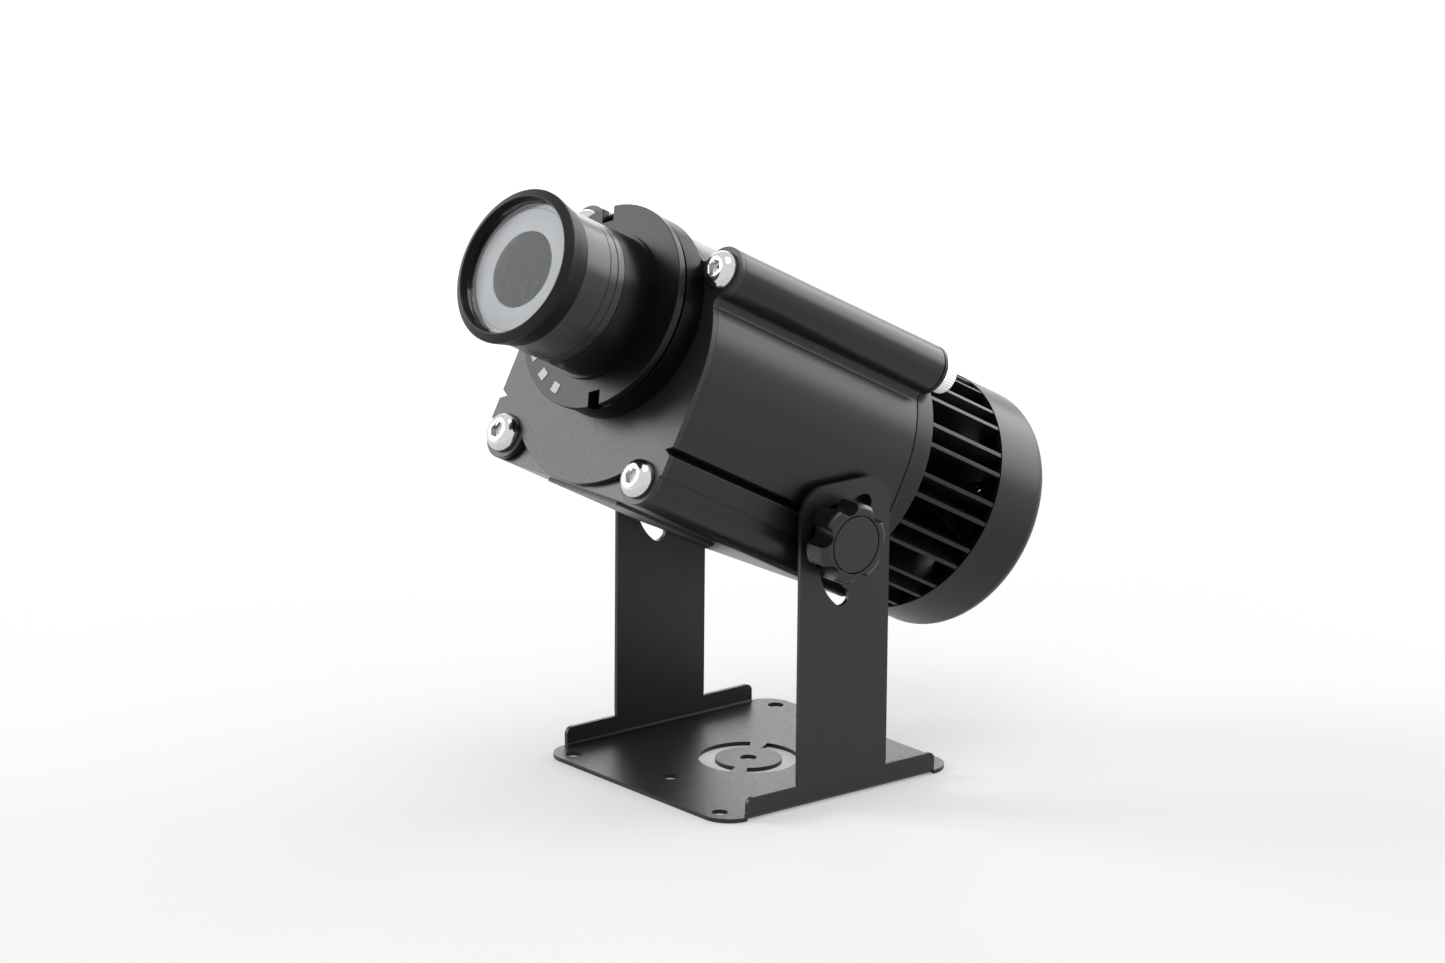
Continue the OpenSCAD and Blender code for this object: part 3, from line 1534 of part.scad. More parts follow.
module fan_blade() {
    translate([hub_r - fan_cup_wall / 2, (rotor_y + rotor_back_y) / 2, 0]) rotate([blade_pitch, 0, 0])
        translate([0, -blade_t / 2, -blade_chord / 2]) cube([fan_bore_d, blade_t, blade_chord]);
}

module fan_rotor() {
    color([0.1, 0.1, 0.1]) on_core() {
        difference() {
            rod(rotor_y, rotor_back_y, hub_r);
            rod(rotor_y + fan_cup_wall, rotor_back_y + cut, hub_r - fan_cup_wall);
        }
        rod(rotor_y, shaft_end_y, fan_shaft_d / 2);
        intersection() {
            tube(
                rotor_y + fan_gap / 2, rotor_back_y - fan_gap / 2,
                fan_bore_d / 2 - fan_tip_gap, hub_r - fan_cup_wall / 2
            );
            for (i = [0 : fan_blades - 1]) rotate([0, i * 360 / fan_blades, 0]) fan_blade();
        }
    }
}

module power_inlet() {
    color([0.05, 0.05, 0.05]) on_core() translate([0, 0, -inlet_r]) {
        difference() {
            union() {
                rod(back_y - inlet_l, back_y, inlet_d / 2);
                rod(back_y, back_y + inlet_collar_t, inlet_collar_d / 2);
            }
            rod(back_y - inlet_l + inlet_floor, back_y + inlet_collar_t + cut, inlet_d / 2 - inlet_wall);
        }
        rod(back_y - inlet_l + inlet_floor / 2, back_y, inlet_pin_d / 2);
    }
}

module power_inlet_nut() {
    color([0.6, 0.6, 0.6]) on_core() translate([0, 0, -inlet_r]) difference() {
        translate([0, vent_y, 0]) rotate([90, 0, 0]) cylinder(h = inlet_nut_t, r = inlet_collar_d / 2, $fn = 6);
        rod(vent_y - inlet_nut_t - cut, vent_y + cut, inlet_d / 2 + fit);
    }
}

yoke();
pivot_screws();
pivot_spacers();
clamp_spacers();
knob();  // knob_right
knob_cap();  // knob_cap_right
knob_stud();  // knob_stud_right
knob_washer();  // knob_washer_right
on_side(-1) knob();  // knob_left
on_side(-1) knob_cap();  // knob_cap_left
on_side(-1) knob_stud();  // knob_stud_left
on_side(-1) knob_washer();  // knob_washer_left
housing();
front_plate();
front_screws();
bottom_cover();
bottom_cover_screws();
lens_collar();
collar_screws();
lens_flange();
index_marks();
lens_tube();
focus_key_screw();
rear_lens();
rear_lens_lock_ring();
focus_ring();
lens_barrel();
bezel_ring();
front_lens();
lens_stop();
middle_lens();
middle_lens_lock_ring();
gobo_holder();
gobo();
gobo_clip();
condenser_tube();
condenser_tube_screws();
condenser_lenses();
condenser_lock_rings();
led_board();
led_light_field();
led_holder();
led_screws();
driver_board();
driver_components();
rear_flange();
heat_sink();
heat_sink_screws();
rear_screws();
rear_cap();
cap_screws();
fan_frame();
fan_rotor();
fan_screws();
power_inlet();
power_inlet_nut();
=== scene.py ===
import json
import math

import bmesh
import bpy
from mathutils import Matrix, Vector

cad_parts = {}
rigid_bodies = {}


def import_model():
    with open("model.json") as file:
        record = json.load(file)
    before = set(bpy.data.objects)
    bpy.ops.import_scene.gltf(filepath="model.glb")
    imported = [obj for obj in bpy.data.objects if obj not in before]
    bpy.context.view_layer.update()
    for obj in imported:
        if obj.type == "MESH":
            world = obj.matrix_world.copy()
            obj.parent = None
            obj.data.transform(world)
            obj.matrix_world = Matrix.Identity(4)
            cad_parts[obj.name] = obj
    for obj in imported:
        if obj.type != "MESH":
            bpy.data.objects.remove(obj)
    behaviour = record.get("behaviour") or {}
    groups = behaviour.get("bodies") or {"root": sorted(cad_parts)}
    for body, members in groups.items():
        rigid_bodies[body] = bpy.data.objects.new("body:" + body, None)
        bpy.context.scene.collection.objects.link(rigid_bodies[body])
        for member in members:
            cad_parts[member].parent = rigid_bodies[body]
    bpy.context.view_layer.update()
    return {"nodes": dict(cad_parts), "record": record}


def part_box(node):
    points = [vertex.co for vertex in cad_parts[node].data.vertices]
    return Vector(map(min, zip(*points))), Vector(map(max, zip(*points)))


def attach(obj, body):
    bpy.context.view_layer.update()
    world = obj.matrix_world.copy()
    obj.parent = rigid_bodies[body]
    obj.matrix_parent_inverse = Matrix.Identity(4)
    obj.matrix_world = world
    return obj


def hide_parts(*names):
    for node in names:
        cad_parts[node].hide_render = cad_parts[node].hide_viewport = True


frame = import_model()

SLOTS = {s["node"]: s["material_slot"] for s in frame["record"]["subparts"]}
BODIES = {
    name: obj.parent.name.removeprefix("body:")
    for name, obj in frame["nodes"].items()
}

# The head's frame: its origin is on the tilt axis, y runs back along the head and z up.
# Its lengths are in millimetres.

MM = 0.001
TILT = math.radians(28)
PIVOT = Vector((0, 9.6, 88.3)) * MM
HEAD = Matrix.Translation(PIVOT) @ Matrix.Rotation(-TILT, 4, "X")
TO_METRES = Matrix.Diagonal((MM, MM, MM, 1))
FROM_HEAD = HEAD @ TO_METRES
CORE_Z = 30.2
LENS_Z = 43.3

# Camera, at the photograph's viewing angle

EYE = Vector((1.83449, -1.53001, 0.78427))
AZIMUTH = math.radians(50.415)
ELEVATION = math.radians(15.900)
ROLL = math.radians(0.527)
PHOTO_WIDTH = 1445
FOCAL_PIXELS = 7031.5
SENSOR = 36
NEAREST = 0.1
FARTHEST = 50


def add_camera():
    """The camera, from its place, direction, roll and focal length."""
    back = Vector((
        math.sin(AZIMUTH) * math.cos(ELEVATION),
        -math.cos(AZIMUTH) * math.cos(ELEVATION),
        math.sin(ELEVATION),
    ))
    level = Vector((math.cos(AZIMUTH), math.sin(AZIMUTH), 0))
    upright = back.cross(level)
    right = level * math.cos(ROLL) + upright * math.sin(ROLL)
    up = upright * math.cos(ROLL) - level * math.sin(ROLL)
    data = bpy.data.cameras.new("camera")
    data.sensor_fit = "HORIZONTAL"
    data.sensor_width = SENSOR
    data.lens = SENSOR * FOCAL_PIXELS / PHOTO_WIDTH
    data.clip_start = NEAREST
    data.clip_end = FARTHEST
    cam = bpy.data.objects.new("camera", data)
    cam.matrix_world = Matrix((
        (right.x, up.x, back.x, EYE.x),
        (right.y, up.y, back.y, EYE.y),
        (right.z, up.z, back.z, EYE.z),
        (0, 0, 0, 1),
    ))
    bpy.context.scene.collection.objects.link(cam)
    bpy.context.scene.camera = cam


# Materials

# A noise seldom leaves this range, so colour and roughness are spread over it
NOISE_LOW = 0.3
NOISE_HIGH = 0.7
NOISE_ROUGHNESS = 0.55

# Noise scales per metre, high across the marks of a tool and low along them
EXTRUDED = (900, 4, 900)
TURNED = (3, 1400, 3)
ROLLED = (500, 500, 60)
GROUND = (1500, 1500, 1500)
POLISHED = (900, 900, 900)
MOULDED = (900, 900, 900)
GRAIN = (2600, 2600, 2600)
CLOUDS = (60, 60, 60)
GLASS_CLOUDS = (220, 220, 220)
FLOOR_CLOUDS = (2, 2, 2)

# Depths of the bumps, in metres
COATED = 0.00002
FINE = 0.000008
BRIGHT = 0.00001
GRAINED = 0.00003


class Nodes:
    """A material's node tree, with short calls to add and link nodes."""

    def __init__(self, name):
        self.mat = bpy.data.materials.new(name)
        self.mat.use_nodes = True
        self.tree = self.mat.node_tree
        self.tree.nodes.clear()
        out = self.tree.nodes.new("ShaderNodeOutputMaterial")
        self.bsdf = self.tree.nodes.new("ShaderNodeBsdfPrincipled")
        self.link(self.bsdf, "BSDF", out, "Surface")

    def add(self, kind, **values):
        """A new node, with values for its inputs or its own settings."""
        node = self.tree.nodes.new(kind)
        for key, value in values.items():
            if key in node.inputs:
                node.inputs[key].default_value = value
            else:
                setattr(node, key, value)
        return node

    def link(self, source, out, target, into):
        self.tree.links.new(source.outputs[out], target.inputs[into])

    def set(self, **values):
        """Sets the shader's own sockets, with _ for each space in their names."""
        for key, value in values.items():
            self.bsdf.inputs[key.replace("_", " ")].default_value = value

    def coords(self, scale, in_head=False):
        """Object coordinates in metres, turned into the head's frame if asked, and scaled."""
        last = self.add("ShaderNodeTexCoord")
        out = "Object"
        if in_head:
            turn = self.add("ShaderNodeMapping")
            turn.inputs["Rotation"].default_value = (TILT, 0, 0)
            turn.inputs["Location"].default_value = -(Matrix.Rotation(TILT, 3, "X") @ PIVOT)
            self.link(last, out, turn, "Vector")
            last = turn
            out = "Vector"
        size = self.add("ShaderNodeMapping")
        size.inputs["Scale"].default_value = scale
        self.link(last, out, size, "Vector")
        return size

    def noise(self, scale, in_head=False, detail=3.0):
        where = self.coords(scale, in_head)
        noise = self.add(
            "ShaderNodeTexNoise", Scale=1.0, Detail=detail, Roughness=NOISE_ROUGHNESS,
        )
        self.link(where, "Vector", noise, "Vector")
        return noise

    def colour(self, noise, low, high):
        """Base colour, from low to high with the noise."""
        ramp = self.add("ShaderNodeValToRGB")
        start, end = ramp.color_ramp.elements
        start.position = NOISE_LOW
        start.color = (*low, 1)
        end.position = NOISE_HIGH
        end.color = (*high, 1)
        self.link(noise, "Fac", ramp, "Fac")
        self.link(ramp, "Color", self.bsdf, "Base Color")

    def roughness(self, noise, low, high):
        """Roughness, from low to high with the noise."""
        span = self.add("ShaderNodeMapRange", **{
            "From Min": NOISE_LOW, "From Max": NOISE_HIGH, "To Min": low, "To Max": high,
        })
        self.link(noise, "Fac", span, "Value")
        self.link(span, "Result", self.bsdf, "Roughness")

    def bump(self, noise, depth, strength, after=None):
        """A bump on the shader, on top of an earlier one if there is one."""
        bump = self.add("ShaderNodeBump", Strength=strength, Distance=depth)
        self.link(noise, "Fac", bump, "Height")
        if after:
            self.link(after, "Normal", bump, "Normal")
        self.link(bump, "Normal", self.bsdf, "Normal")
        return bump


def grey(value):
    """A grey with a trace of blue."""
    return (value, value, value * 1.03)


def black_metal(name, tone, rough, lines, in_head=True, depth=COATED, shine=0.5):
    """Anodised or coated black metal, or grey where the tone is higher."""
    n = Nodes(name)
    n.set(Specular_IOR_Level=shine)
    cloud = n.noise(CLOUDS, in_head)
    marks = n.noise(lines, in_head, detail=2.0)
    grain = n.noise(GRAIN, in_head, detail=2.0)
    n.colour(cloud, grey(tone * 0.85), grey(tone * 1.15))
    n.roughness(marks, rough * 0.92, rough * 1.08)
    first = n.bump(marks, depth, strength=0.25)
    n.bump(grain, depth, strength=0.35, after=first)
    return n.mat


def bright_metal(name, tone, rough):
    """Polished, plated or plain steel."""
    n = Nodes(name)
    n.set(Metallic=1.0)
    marks = n.noise(POLISHED, in_head=True)
    n.colour(marks, grey(tone * 0.92), grey(tone))
    n.roughness(marks, rough * 0.8, rough * 1.25)
    n.bump(marks, BRIGHT, strength=0.3)
    return n.mat


def plastic(name, low, high, rough):
    """Moulded plastic, between two colours."""
    n = Nodes(name)
    cloud = n.noise(MOULDED, detail=4.0)
    n.colour(cloud, low, high)
    n.roughness(cloud, rough * 0.9, rough * 1.1)
    n.bump(cloud, GRAINED, strength=0.3)
    return n.mat


def glass(name, tint, rough, ior):
    """Clear or tinted glass."""
    n = Nodes(name)
    n.set(Transmission_Weight=1.0, IOR=ior)
    cloud = n.noise(GLASS_CLOUDS, in_head=True)
    n.colour(cloud, tuple(t * 0.97 for t in tint), tint)
    n.roughness(cloud, rough * 0.5, rough * 1.5)
    return n.mat


BLACK_METALS = {
    "yoke_black": dict(tone=0.012, rough=0.40, lines=ROLLED, in_head=False, shine=0.48),
    "body_black": dict(tone=0.006, rough=0.30, lines=EXTRUDED, shine=0.42),
    "plate_black": dict(tone=0.014, rough=0.40, lines=GROUND, depth=FINE),
    # The heat sink's black is a little lighter than the body's: painted light that lifts the
    # shade in the gaps between the fins
    "sink_black": dict(tone=0.012, rough=0.36, lines=TURNED, shine=0.34),
    "cap_black": dict(tone=0.006, rough=0.34, lines=TURNED, shine=0.38),
    "lens_black": dict(tone=0.004, rough=0.28, lines=TURNED, depth=FINE, shine=0.55),
    "tube_black": dict(tone=0.004, rough=0.32, lines=TURNED, shine=0.25),
    # The collar's look is a darker, duller copy of the lens black: partly its own matte black,
    # partly painted shade between the disc and the front plate
    "collar_black": dict(tone=0.003, rough=0.36, lines=TURNED, shine=0.12),
    "bezel_black": dict(tone=0.004, rough=0.42, lines=TURNED, shine=0.24),
    "inner_black": dict(tone=0.020, rough=0.55, lines=TURNED),
    "stop_grey": dict(tone=0.33, rough=0.60, lines=TURNED),
    "screw_black": dict(tone=0.015, rough=0.35, lines=TURNED),
}
BRIGHT_METALS = {
    "screw_bright": dict(tone=0.66, rough=0.12),
    "screw_steel": dict(tone=0.75, rough=0.28),
    "cap_head_steel": dict(tone=0.92, rough=0.42),
}
PLASTICS = {
    "knob_plastic": dict(low=grey(0.006), high=grey(0.010), rough=0.28),
    "knob_cap_plastic": dict(low=grey(0.008), high=grey(0.012), rough=0.42),
    "spacer_nylon": dict(low=(0.5, 0.49, 0.45), high=(0.6, 0.59, 0.55), rough=0.5),
    "mark_white": dict(low=grey(0.8), high=grey(0.86), rough=0.5),
    "led_white": dict(low=grey(0.75), high=grey(0.8), rough=0.5),
    "led_phosphor": dict(low=(0.85, 0.6, 0.05), high=(0.9, 0.68, 0.1), rough=0.35),
    "board_green": dict(low=(0.01, 0.12, 0.03), high=(0.02, 0.16, 0.04), rough=0.4),
    "component_black": dict(low=grey(0.012), high=grey(0.02), rough=0.45),
    "fan_plastic": dict(low=grey(0.010), high=grey(0.015), rough=0.45),
}
GLASSES = {
    "lens_glass": dict(tint=(0.95, 0.97, 0.98), rough=0.01, ior=1.17),
    "gobo_glass": dict(tint=(0.5, 0.55, 0.7), rough=0.02, ior=1.5),
}
LOOKS = {
    name: make(name, **values)
    for make, table in (
        (black_metal, BLACK_METALS),
        (bright_metal, BRIGHT_METALS),
        (plastic, PLASTICS),
        (glass, GLASSES),
    )
    for name, values in table.items()
}


def dress_cad():
    """Every carried-over CAD node gets its slot's material."""
    for name, obj in frame["nodes"].items():
        obj.data.materials.clear()
        obj.data.materials.append(LOOKS[SLOTS[name]])


# Mesh tools

# The share of a side that a rounded corner may take
CORNER_SHARE = 0.45

# The chamfer at the foot of a screw head or of a knob's hub
FOOT_CHAMFER = 0.3


def soften(points, size, steps=4):
    """Rounds the inner corners of a row of points by size, or by what their sides allow."""
    out = [Vector(points[0])]
    for before, here, after in zip(points, points[1:], points[2:]):
        here = Vector(here)
        back = Vector(before) - here
        on = Vector(after) - here
        start = here + back.normalized() * min(size, back.length * CORNER_SHARE)
        end = here + on.normalized() * min(size, on.length * CORNER_SHARE)
        for i in range(steps + 1):
            t = i / steps
            out.append(start * (1 - t) ** 2 + here * 2 * t * (1 - t) + end * t * t)
    out.append(Vector(points[-1]))
    return out


def ring(points, size, steps=4):
    """The same for a closed row of points."""
    around = soften([points[-1], *points, points[0]], size, steps)
    return around[1:-1]


def polar(rows, count, closed=False):
    """Rings round z from rows of (radius, height); a radius may be a function of the angle."""
    bm = bmesh.new()
    angles = [2 * math.pi * i / count for i in range(count)]
    rings = []
    for radius, height in rows:
        if not callable(radius) and radius == 0:
            rings.append([bm.verts.new((0, 0, height))])
            continue
        sizes = [radius(a) if callable(radius) else radius for a in angles]
        rings.append([
            bm.verts.new((r * math.cos(a), r * math.sin(a), height))
            for r, a in zip(sizes, angles)
        ])
    pairs = list(zip(rings, rings[1:]))
    if closed:
        pairs.append((rings[-1], rings[0]))
    for low, high in pairs:
        for i in range(count):
            j = i + 1
            corners = [
                low[i % len(low)], low[j % len(low)],
                high[j % len(high)], high[i % len(high)],
            ]
            bm.faces.new(list(dict.fromkeys(corners)))
    bmesh.ops.recalc_face_normals(bm, faces=bm.faces)
    return bm


def join(parts):
    """One mesh from (mesh, matrix) pairs."""
    whole = bmesh.new()
    for part, place in parts:
        mesh = bpy.data.meshes.new("part")
        part.to_mesh(mesh)
        part.free()
        mesh.transform(place)
        whole.from_mesh(mesh)
        bpy.data.meshes.remove(mesh)
    return whole


def along_head(x, y, z, back=False):
    """A piece drawn up z, laid along the head at a point, pointing forward or back."""
    turn = Matrix.Rotation(math.radians(-90 if back else 90), 4, "X")
    return Matrix.Translation((x, y, z)) @ turn


def piece(name, bm, place, node, look=None, angle=35):
    """A finished piece in the place of a CAD node, with its body and its material slot."""
    mesh = bpy.data.meshes.new(name)
    bm.to_mesh(mesh)
    bm.free()
    mesh.transform(place)
    mesh.shade_smooth()
    mesh.set_sharp_from_angle(angle=math.radians(angle))
    obj = bpy.data.objects.new(name, mesh)
    bpy.context.scene.collection.objects.link(obj)
    even = obj.modifiers.new("even_normals", "WEIGHTED_NORMAL")
    even.keep_sharp = True
    mesh.materials.append(LOOKS[look or SLOTS[node]])
    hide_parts(node)
    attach(obj, BODIES[node])


# CAD nodes with rounded edges

# Width of the rounding on each node, in millimetres
ROUNDED = {
    "yoke": 0.3,
    "housing": 0.3,
    "front_plate": 0.25,
    "bottom_cover": 0.2,
    "focus_ring": 0.2,
    "lens_barrel": 0.2,
    "index_marks": 0.08,
    "heat_sink": 0.4,
    "rear_cap": 0.35,
    "pivot_screws": 0.2,
    "pivot_spacers": 0.2,
    "clamp_spacers": 0.2,
    "knob_washer_right": 0.2,
    "knob_washer_left": 0.2,
    "fan_frame": 0.2,
    "fan_rotor": 0.15,
    "fan_screws": 0.1,
    "cap_screws": 0.1,
    "power_inlet": 0.15,
}

# The bend of an edge that is rounded and of one that is dissolved, and tolerances in metres
SHARP_ANGLE = math.radians(35)
FLAT_ANGLE = math.radians(0.5)
SAME_POINT = 1e-6
SAME_PLANE = 1e-5

# The rear flange's front face, and the seam round it
FLANGE_Y = 7.3
SEAM_DEPTH = 0.45
SEAM_WIDTH = 1.0
SEAM_SLOPE = 0.02


def step_front(bm):
    """Steps the outline of the rear flange's front face back, for the dark seam there."""
    forward = HEAD.to_3x3() @ Vector((0, -1, 0))
    level = forward.dot(HEAD @ Vector((0, FLANGE_Y * MM, 0)))
    front = [
        f for f in bm.faces
        if all(abs(forward.dot(v.co) - level) < SAME_PLANE for v in f.verts)
    ]
    rim = bmesh.ops.inset_region(
        bm, faces=front, thickness=SEAM_WIDTH * MM, use_even_offset=True,
    )["faces"]
    bmesh.ops.inset_region(bm, faces=front, thickness=SEAM_SLOPE * MM, use_even_offset=True)
    edge = {v for f in rim for v in f.verts}
    bmesh.ops.translate(bm, verts=list(edge), vec=-forward * SEAM_DEPTH * MM)


def refined(node, width, look=None, edit=None):
    """A CAD node's own shape with rounded edges, as a mesh of its own."""
    bm = bmesh.new()
    bm.from_mesh(frame["nodes"][node].data)
    bmesh.ops.remove_doubles(bm, verts=bm.verts, dist=SAME_POINT)
    bmesh.ops.dissolve_limit(bm, angle_limit=FLAT_ANGLE, verts=bm.verts, edges=bm.edges)
    if edit:
        edit(bm)
    sharp = [e for e in bm.edges if e.is_manifold and e.calc_face_angle() > SHARP_ANGLE]
    bmesh.ops.bevel(
        bm, geom=sharp, offset=width * MM, offset_type="OFFSET", segments=2,
        profile=0.5, affect="EDGES", clamp_overlap=True,
    )
    piece(node + "_finish", bm, Matrix.Identity(4), node, look)


def add_refined():
    """Nodes that keep their CAD shape and get rounded edges."""
    for node, width in ROUNDED.items():
        refined(node, width)
    refined("rear_flange", 0.15, edit=step_front)
    # The collar's darker look holds painted shade from between the disc and the front plate
    refined("lens_collar", 0.3, look="collar_black")
    refined("lens_flange", 0.25, look="tube_black")
    refined("lens_tube", 0.2, look="tube_black")


# Lens, bezel and stop

LENS_Y = -152.4
LENS_R = 24.3
LENS_EDGE = 3.0
LENS_CROWN = 1.1
LENS_RIM = 0.8
DOME_STEPS = 16
BEZEL_Y = -155.2
STOP_Y = -149.3

# Radius and height of the bezel's outline, round from the lens's front edge: a deep wall, a
# thin lip that slopes back to full size, a waist, and the seat round the lens
BEZEL_OUTLINE = [
    (23.8, -2.8),
    (23.9, -2.3),
    (24.6, 0),
    (25.1, 0),
    (27.8, -1.6),
    (27.8, -2.6),
    (26.725, -6.7),
    (25.8, -10.7),
    (24.35, -10.7),
    (24.35, -2.8),
]

# The stop's outline inward from its outer wall, with a thin edge round the opening
STOP_LENGTH = 6.9
STOP_WALL = 1.5
STOP_OPENING = [(14.6, -1.4), (13.8, -0.5), (13.8, -0.2)]


def add_lens():
    """The front lens: a low dome inside a flat rim, with a flat back."""
    dome_r = LENS_R - LENS_RIM
    dome = [
        (dome_r * i / DOME_STEPS, LENS_CROWN * (1 - (i / DOME_STEPS) ** 2))
        for i in range(DOME_STEPS + 1)
    ]
    edge = [(dome_r, 0), (LENS_R, 0), (LENS_R, -LENS_EDGE), (dome_r, -LENS_EDGE)]
    rows = [*dome, *soften(edge, size=0.25)[1:], (0, -LENS_EDGE)]
    place = FROM_HEAD @ along_head(0, LENS_Y, LENS_Z)
    piece("front_lens_glass", polar(rows, count=160), place, "front_lens")


def add_bezel():
    """The bezel round the lens."""
    bm = polar(ring(BEZEL_OUTLINE, size=0.3), count=200, closed=True)
    place = FROM_HEAD @ along_head(0, BEZEL_Y, LENS_Z)
    piece("bezel_finish", bm, place, "bezel_ring")


def add_stop():
    """The stop behind the front lens: a flat grey face with a round opening."""
    low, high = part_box("lens_stop")
    outer = (high.x - low.x) / 2 / MM
    wall = [(outer, 0), (outer, -STOP_LENGTH), (outer - STOP_WALL, -STOP_LENGTH)]
    bm = polar(ring([*wall, *STOP_OPENING], size=0.1, steps=2), count=160, closed=True)
    place = FROM_HEAD @ along_head(0, STOP_Y, LENS_Z)
    piece("lens_stop_finish", bm, place, "lens_stop")


# Screw heads, in the head's four corner bosses

PLATE_Y = -98.2
EAR_T = 2.0
BOSS_X = 37.35
BOSS_Z = 38.35
CORNERS = [(x * BOSS_X, CORE_Z + z * BOSS_Z) for x in (-1, 1) for z in (-1, 1)]
SOCKET_CHAMFER_W = 0.5
SOCKET_CHAMFER_H = 0.3
SOCKET_TAPER = 0.02


def hexagon(flats):
    """Radius of a hexagon by angle, from its size across the flats."""
    sixth = math.radians(60)
    return lambda a: flats / 2 / math.cos(a % sixth - sixth / 2)


def socket(flats, face, floor):
    """A hexagon socket with a chamfer, from the head's face down to its floor."""
    return [
        (hexagon(flats + SOCKET_CHAMFER_W), face),
        (hexagon(flats), face - SOCKET_CHAMFER_H),
        (hexagon(flats - SOCKET_TAPER), floor),
    ]


def button_head():
    """A chromed button head: domed, with a hexagon socket that ends in a drilled cone."""
    height = 4.4
    radius = 7.0
    face_r = 3.3
    drill_r = 1.2
    edge = 0.16 * height
    rows = [(0, 0), (radius - FOOT_CHAMFER, 0), (radius, FOOT_CHAMFER)]
    for degrees in range(0, 91, 6):
        t = math.radians(degrees)
        out = face_r + (radius - face_r) * math.cos(t)
        rows.append((out, edge + (height - edge) * math.sin(t)))
    rows += socket(flats=5.0, face=height, floor=height * 0.45)
    rows += [(drill_r, height * 0.4), (0, height * 0.3)]
    return polar(rows, count=96)


def knurled_head():
    """A cap head with straight knurling, smooth at its foot and chamfered at its face."""
    height = 8.0
    radius = 6.5
    foot_r = radius - 0.05
    ridges = 40
    knurl_depth = 0.32

    def knurl(depth, inset=0.0):
        return lambda a: radius - inset - depth * (0.5 + 0.5 * math.cos(a * ridges))

    rows = [
        (0, 0),
        (radius - FOOT_CHAMFER, 0),
        (foot_r, FOOT_CHAMFER),
        (foot_r, 0.9),
        (knurl(knurl_depth), 1.2),
        (knurl(knurl_depth), height - 0.9),
        (knurl(0.1, inset=0.25), height - 0.45),
        (radius - 0.8, height),
        *socket(flats=6.0, face=height, floor=height * 0.5),
        (0, height * 0.42),
    ]
    return polar(rows, count=ridges * 6)


def add_front_screws():
    parts = [(button_head(), along_head(x, PLATE_Y, z)) for x, z in CORNERS]
    piece("front_screw_heads", join(parts), FROM_HEAD, "front_screws", angle=30)


def add_rear_screws():
    ear_y = FLANGE_Y + EAR_T
    parts = [(knurled_head(), along_head(x, ear_y, z, back=True)) for x, z in CORNERS]
    piece(
        "rear_screw_heads", join(parts), FROM_HEAD, "rear_screws", look="cap_head_steel",
        angle=45,
    )


# Clamp knobs, drawn up z from the face that lies on the arm

KNOB_R = 14.4
KNOB_T = 10.4
KNOB_TURN = math.radians(8)
LOBES = 6
SCALLOP_R = 4.0
SCALLOP_AT = 15.1
LOBE_BLEND = 0.7
LOBE_STEEPNESS = 4
HUB_R = 7.5
HUB_H = 1.5
STUD_HOLE_R = 3.2
FOOT_ROUND = 0.8
FOOT_ANGLES = (0, 0.5, 1.05, math.pi / 2)
SIDE_STEPS = 6
FACE_R = 12.2
FACE_ROUND = 2.9
FACE_STEPS = 12
CAP_R = 10.1
CAP_T = 1.6
CAP_GROOVE = 0.35


def lobed(limit):
    """Radius by angle of the lobed outline, no larger than a limit, with softened corners."""
    step = 2 * math.pi / LOBES

    def radius(angle):
        off = (angle - KNOB_TURN) % step - step / 2
        ahead = SCALLOP_AT * math.cos(off)
        aside = SCALLOP_AT * abs(math.sin(off))
        if aside >= SCALLOP_R:
            wall = ahead + (aside - SCALLOP_R) * LOBE_STEEPNESS
        else:
            wall = ahead - math.sqrt(SCALLOP_R ** 2 - aside ** 2)
        near = max(0.0, 1 - abs(wall - limit) / LOBE_BLEND)
        return min(wall, limit) - near * near * LOBE_BLEND / 4

    return radius


def knob_body():
    """A hub, lobes with a rounded foot and face, and a recess for the cap."""
    top = HUB_H + KNOB_T
    hub = [
        (HUB_R - FOOT_CHAMFER, 0),
        (HUB_R, FOOT_CHAMFER),
        (HUB_R, HUB_H),
        (KNOB_R - 2, HUB_H),
    ]
    rows = [(STUD_HOLE_R, 0), *soften(hub, size=0.3)]
    for t in FOOT_ANGLES:
        radius = KNOB_R - FOOT_ROUND * (1 - math.sin(t))
        rows.append((lobed(radius), HUB_H + FOOT_ROUND * (1 - math.cos(t))))
    straight = KNOB_T - FOOT_ROUND - FACE_ROUND
    for i in range(1, SIDE_STEPS):
        rows.append((lobed(KNOB_R), HUB_H + FOOT_ROUND + straight * i / SIDE_STEPS))
    for i in range(FACE_STEPS + 1):
        t = math.radians(90 * i / FACE_STEPS)
        radius = FACE_R + (KNOB_R - FACE_R) * math.cos(t)
        rows.append((lobed(radius), top - FACE_ROUND + FACE_ROUND * math.sin(t)))
    wall_r = CAP_R + CAP_GROOVE
    floor = top - CAP_T
    recess = [(CAP_R + 0.9, top), (wall_r, top), (wall_r, floor), (STUD_HOLE_R, floor)]
    return polar([*rows, *soften(recess, size=0.18)], count=360)


def knob_cap():
    """The round cap in the knob's recess."""
    edge = CAP_R - 0.1
    foot = 0.05
    face = CAP_T - 0.02
    rim = [(edge - 1, foot), (edge, foot), (edge, CAP_T), (edge - 0.6, CAP_T)]
    return polar([(0, foot), *soften(rim, size=0.2), (5, face), (0, face)], count=160)


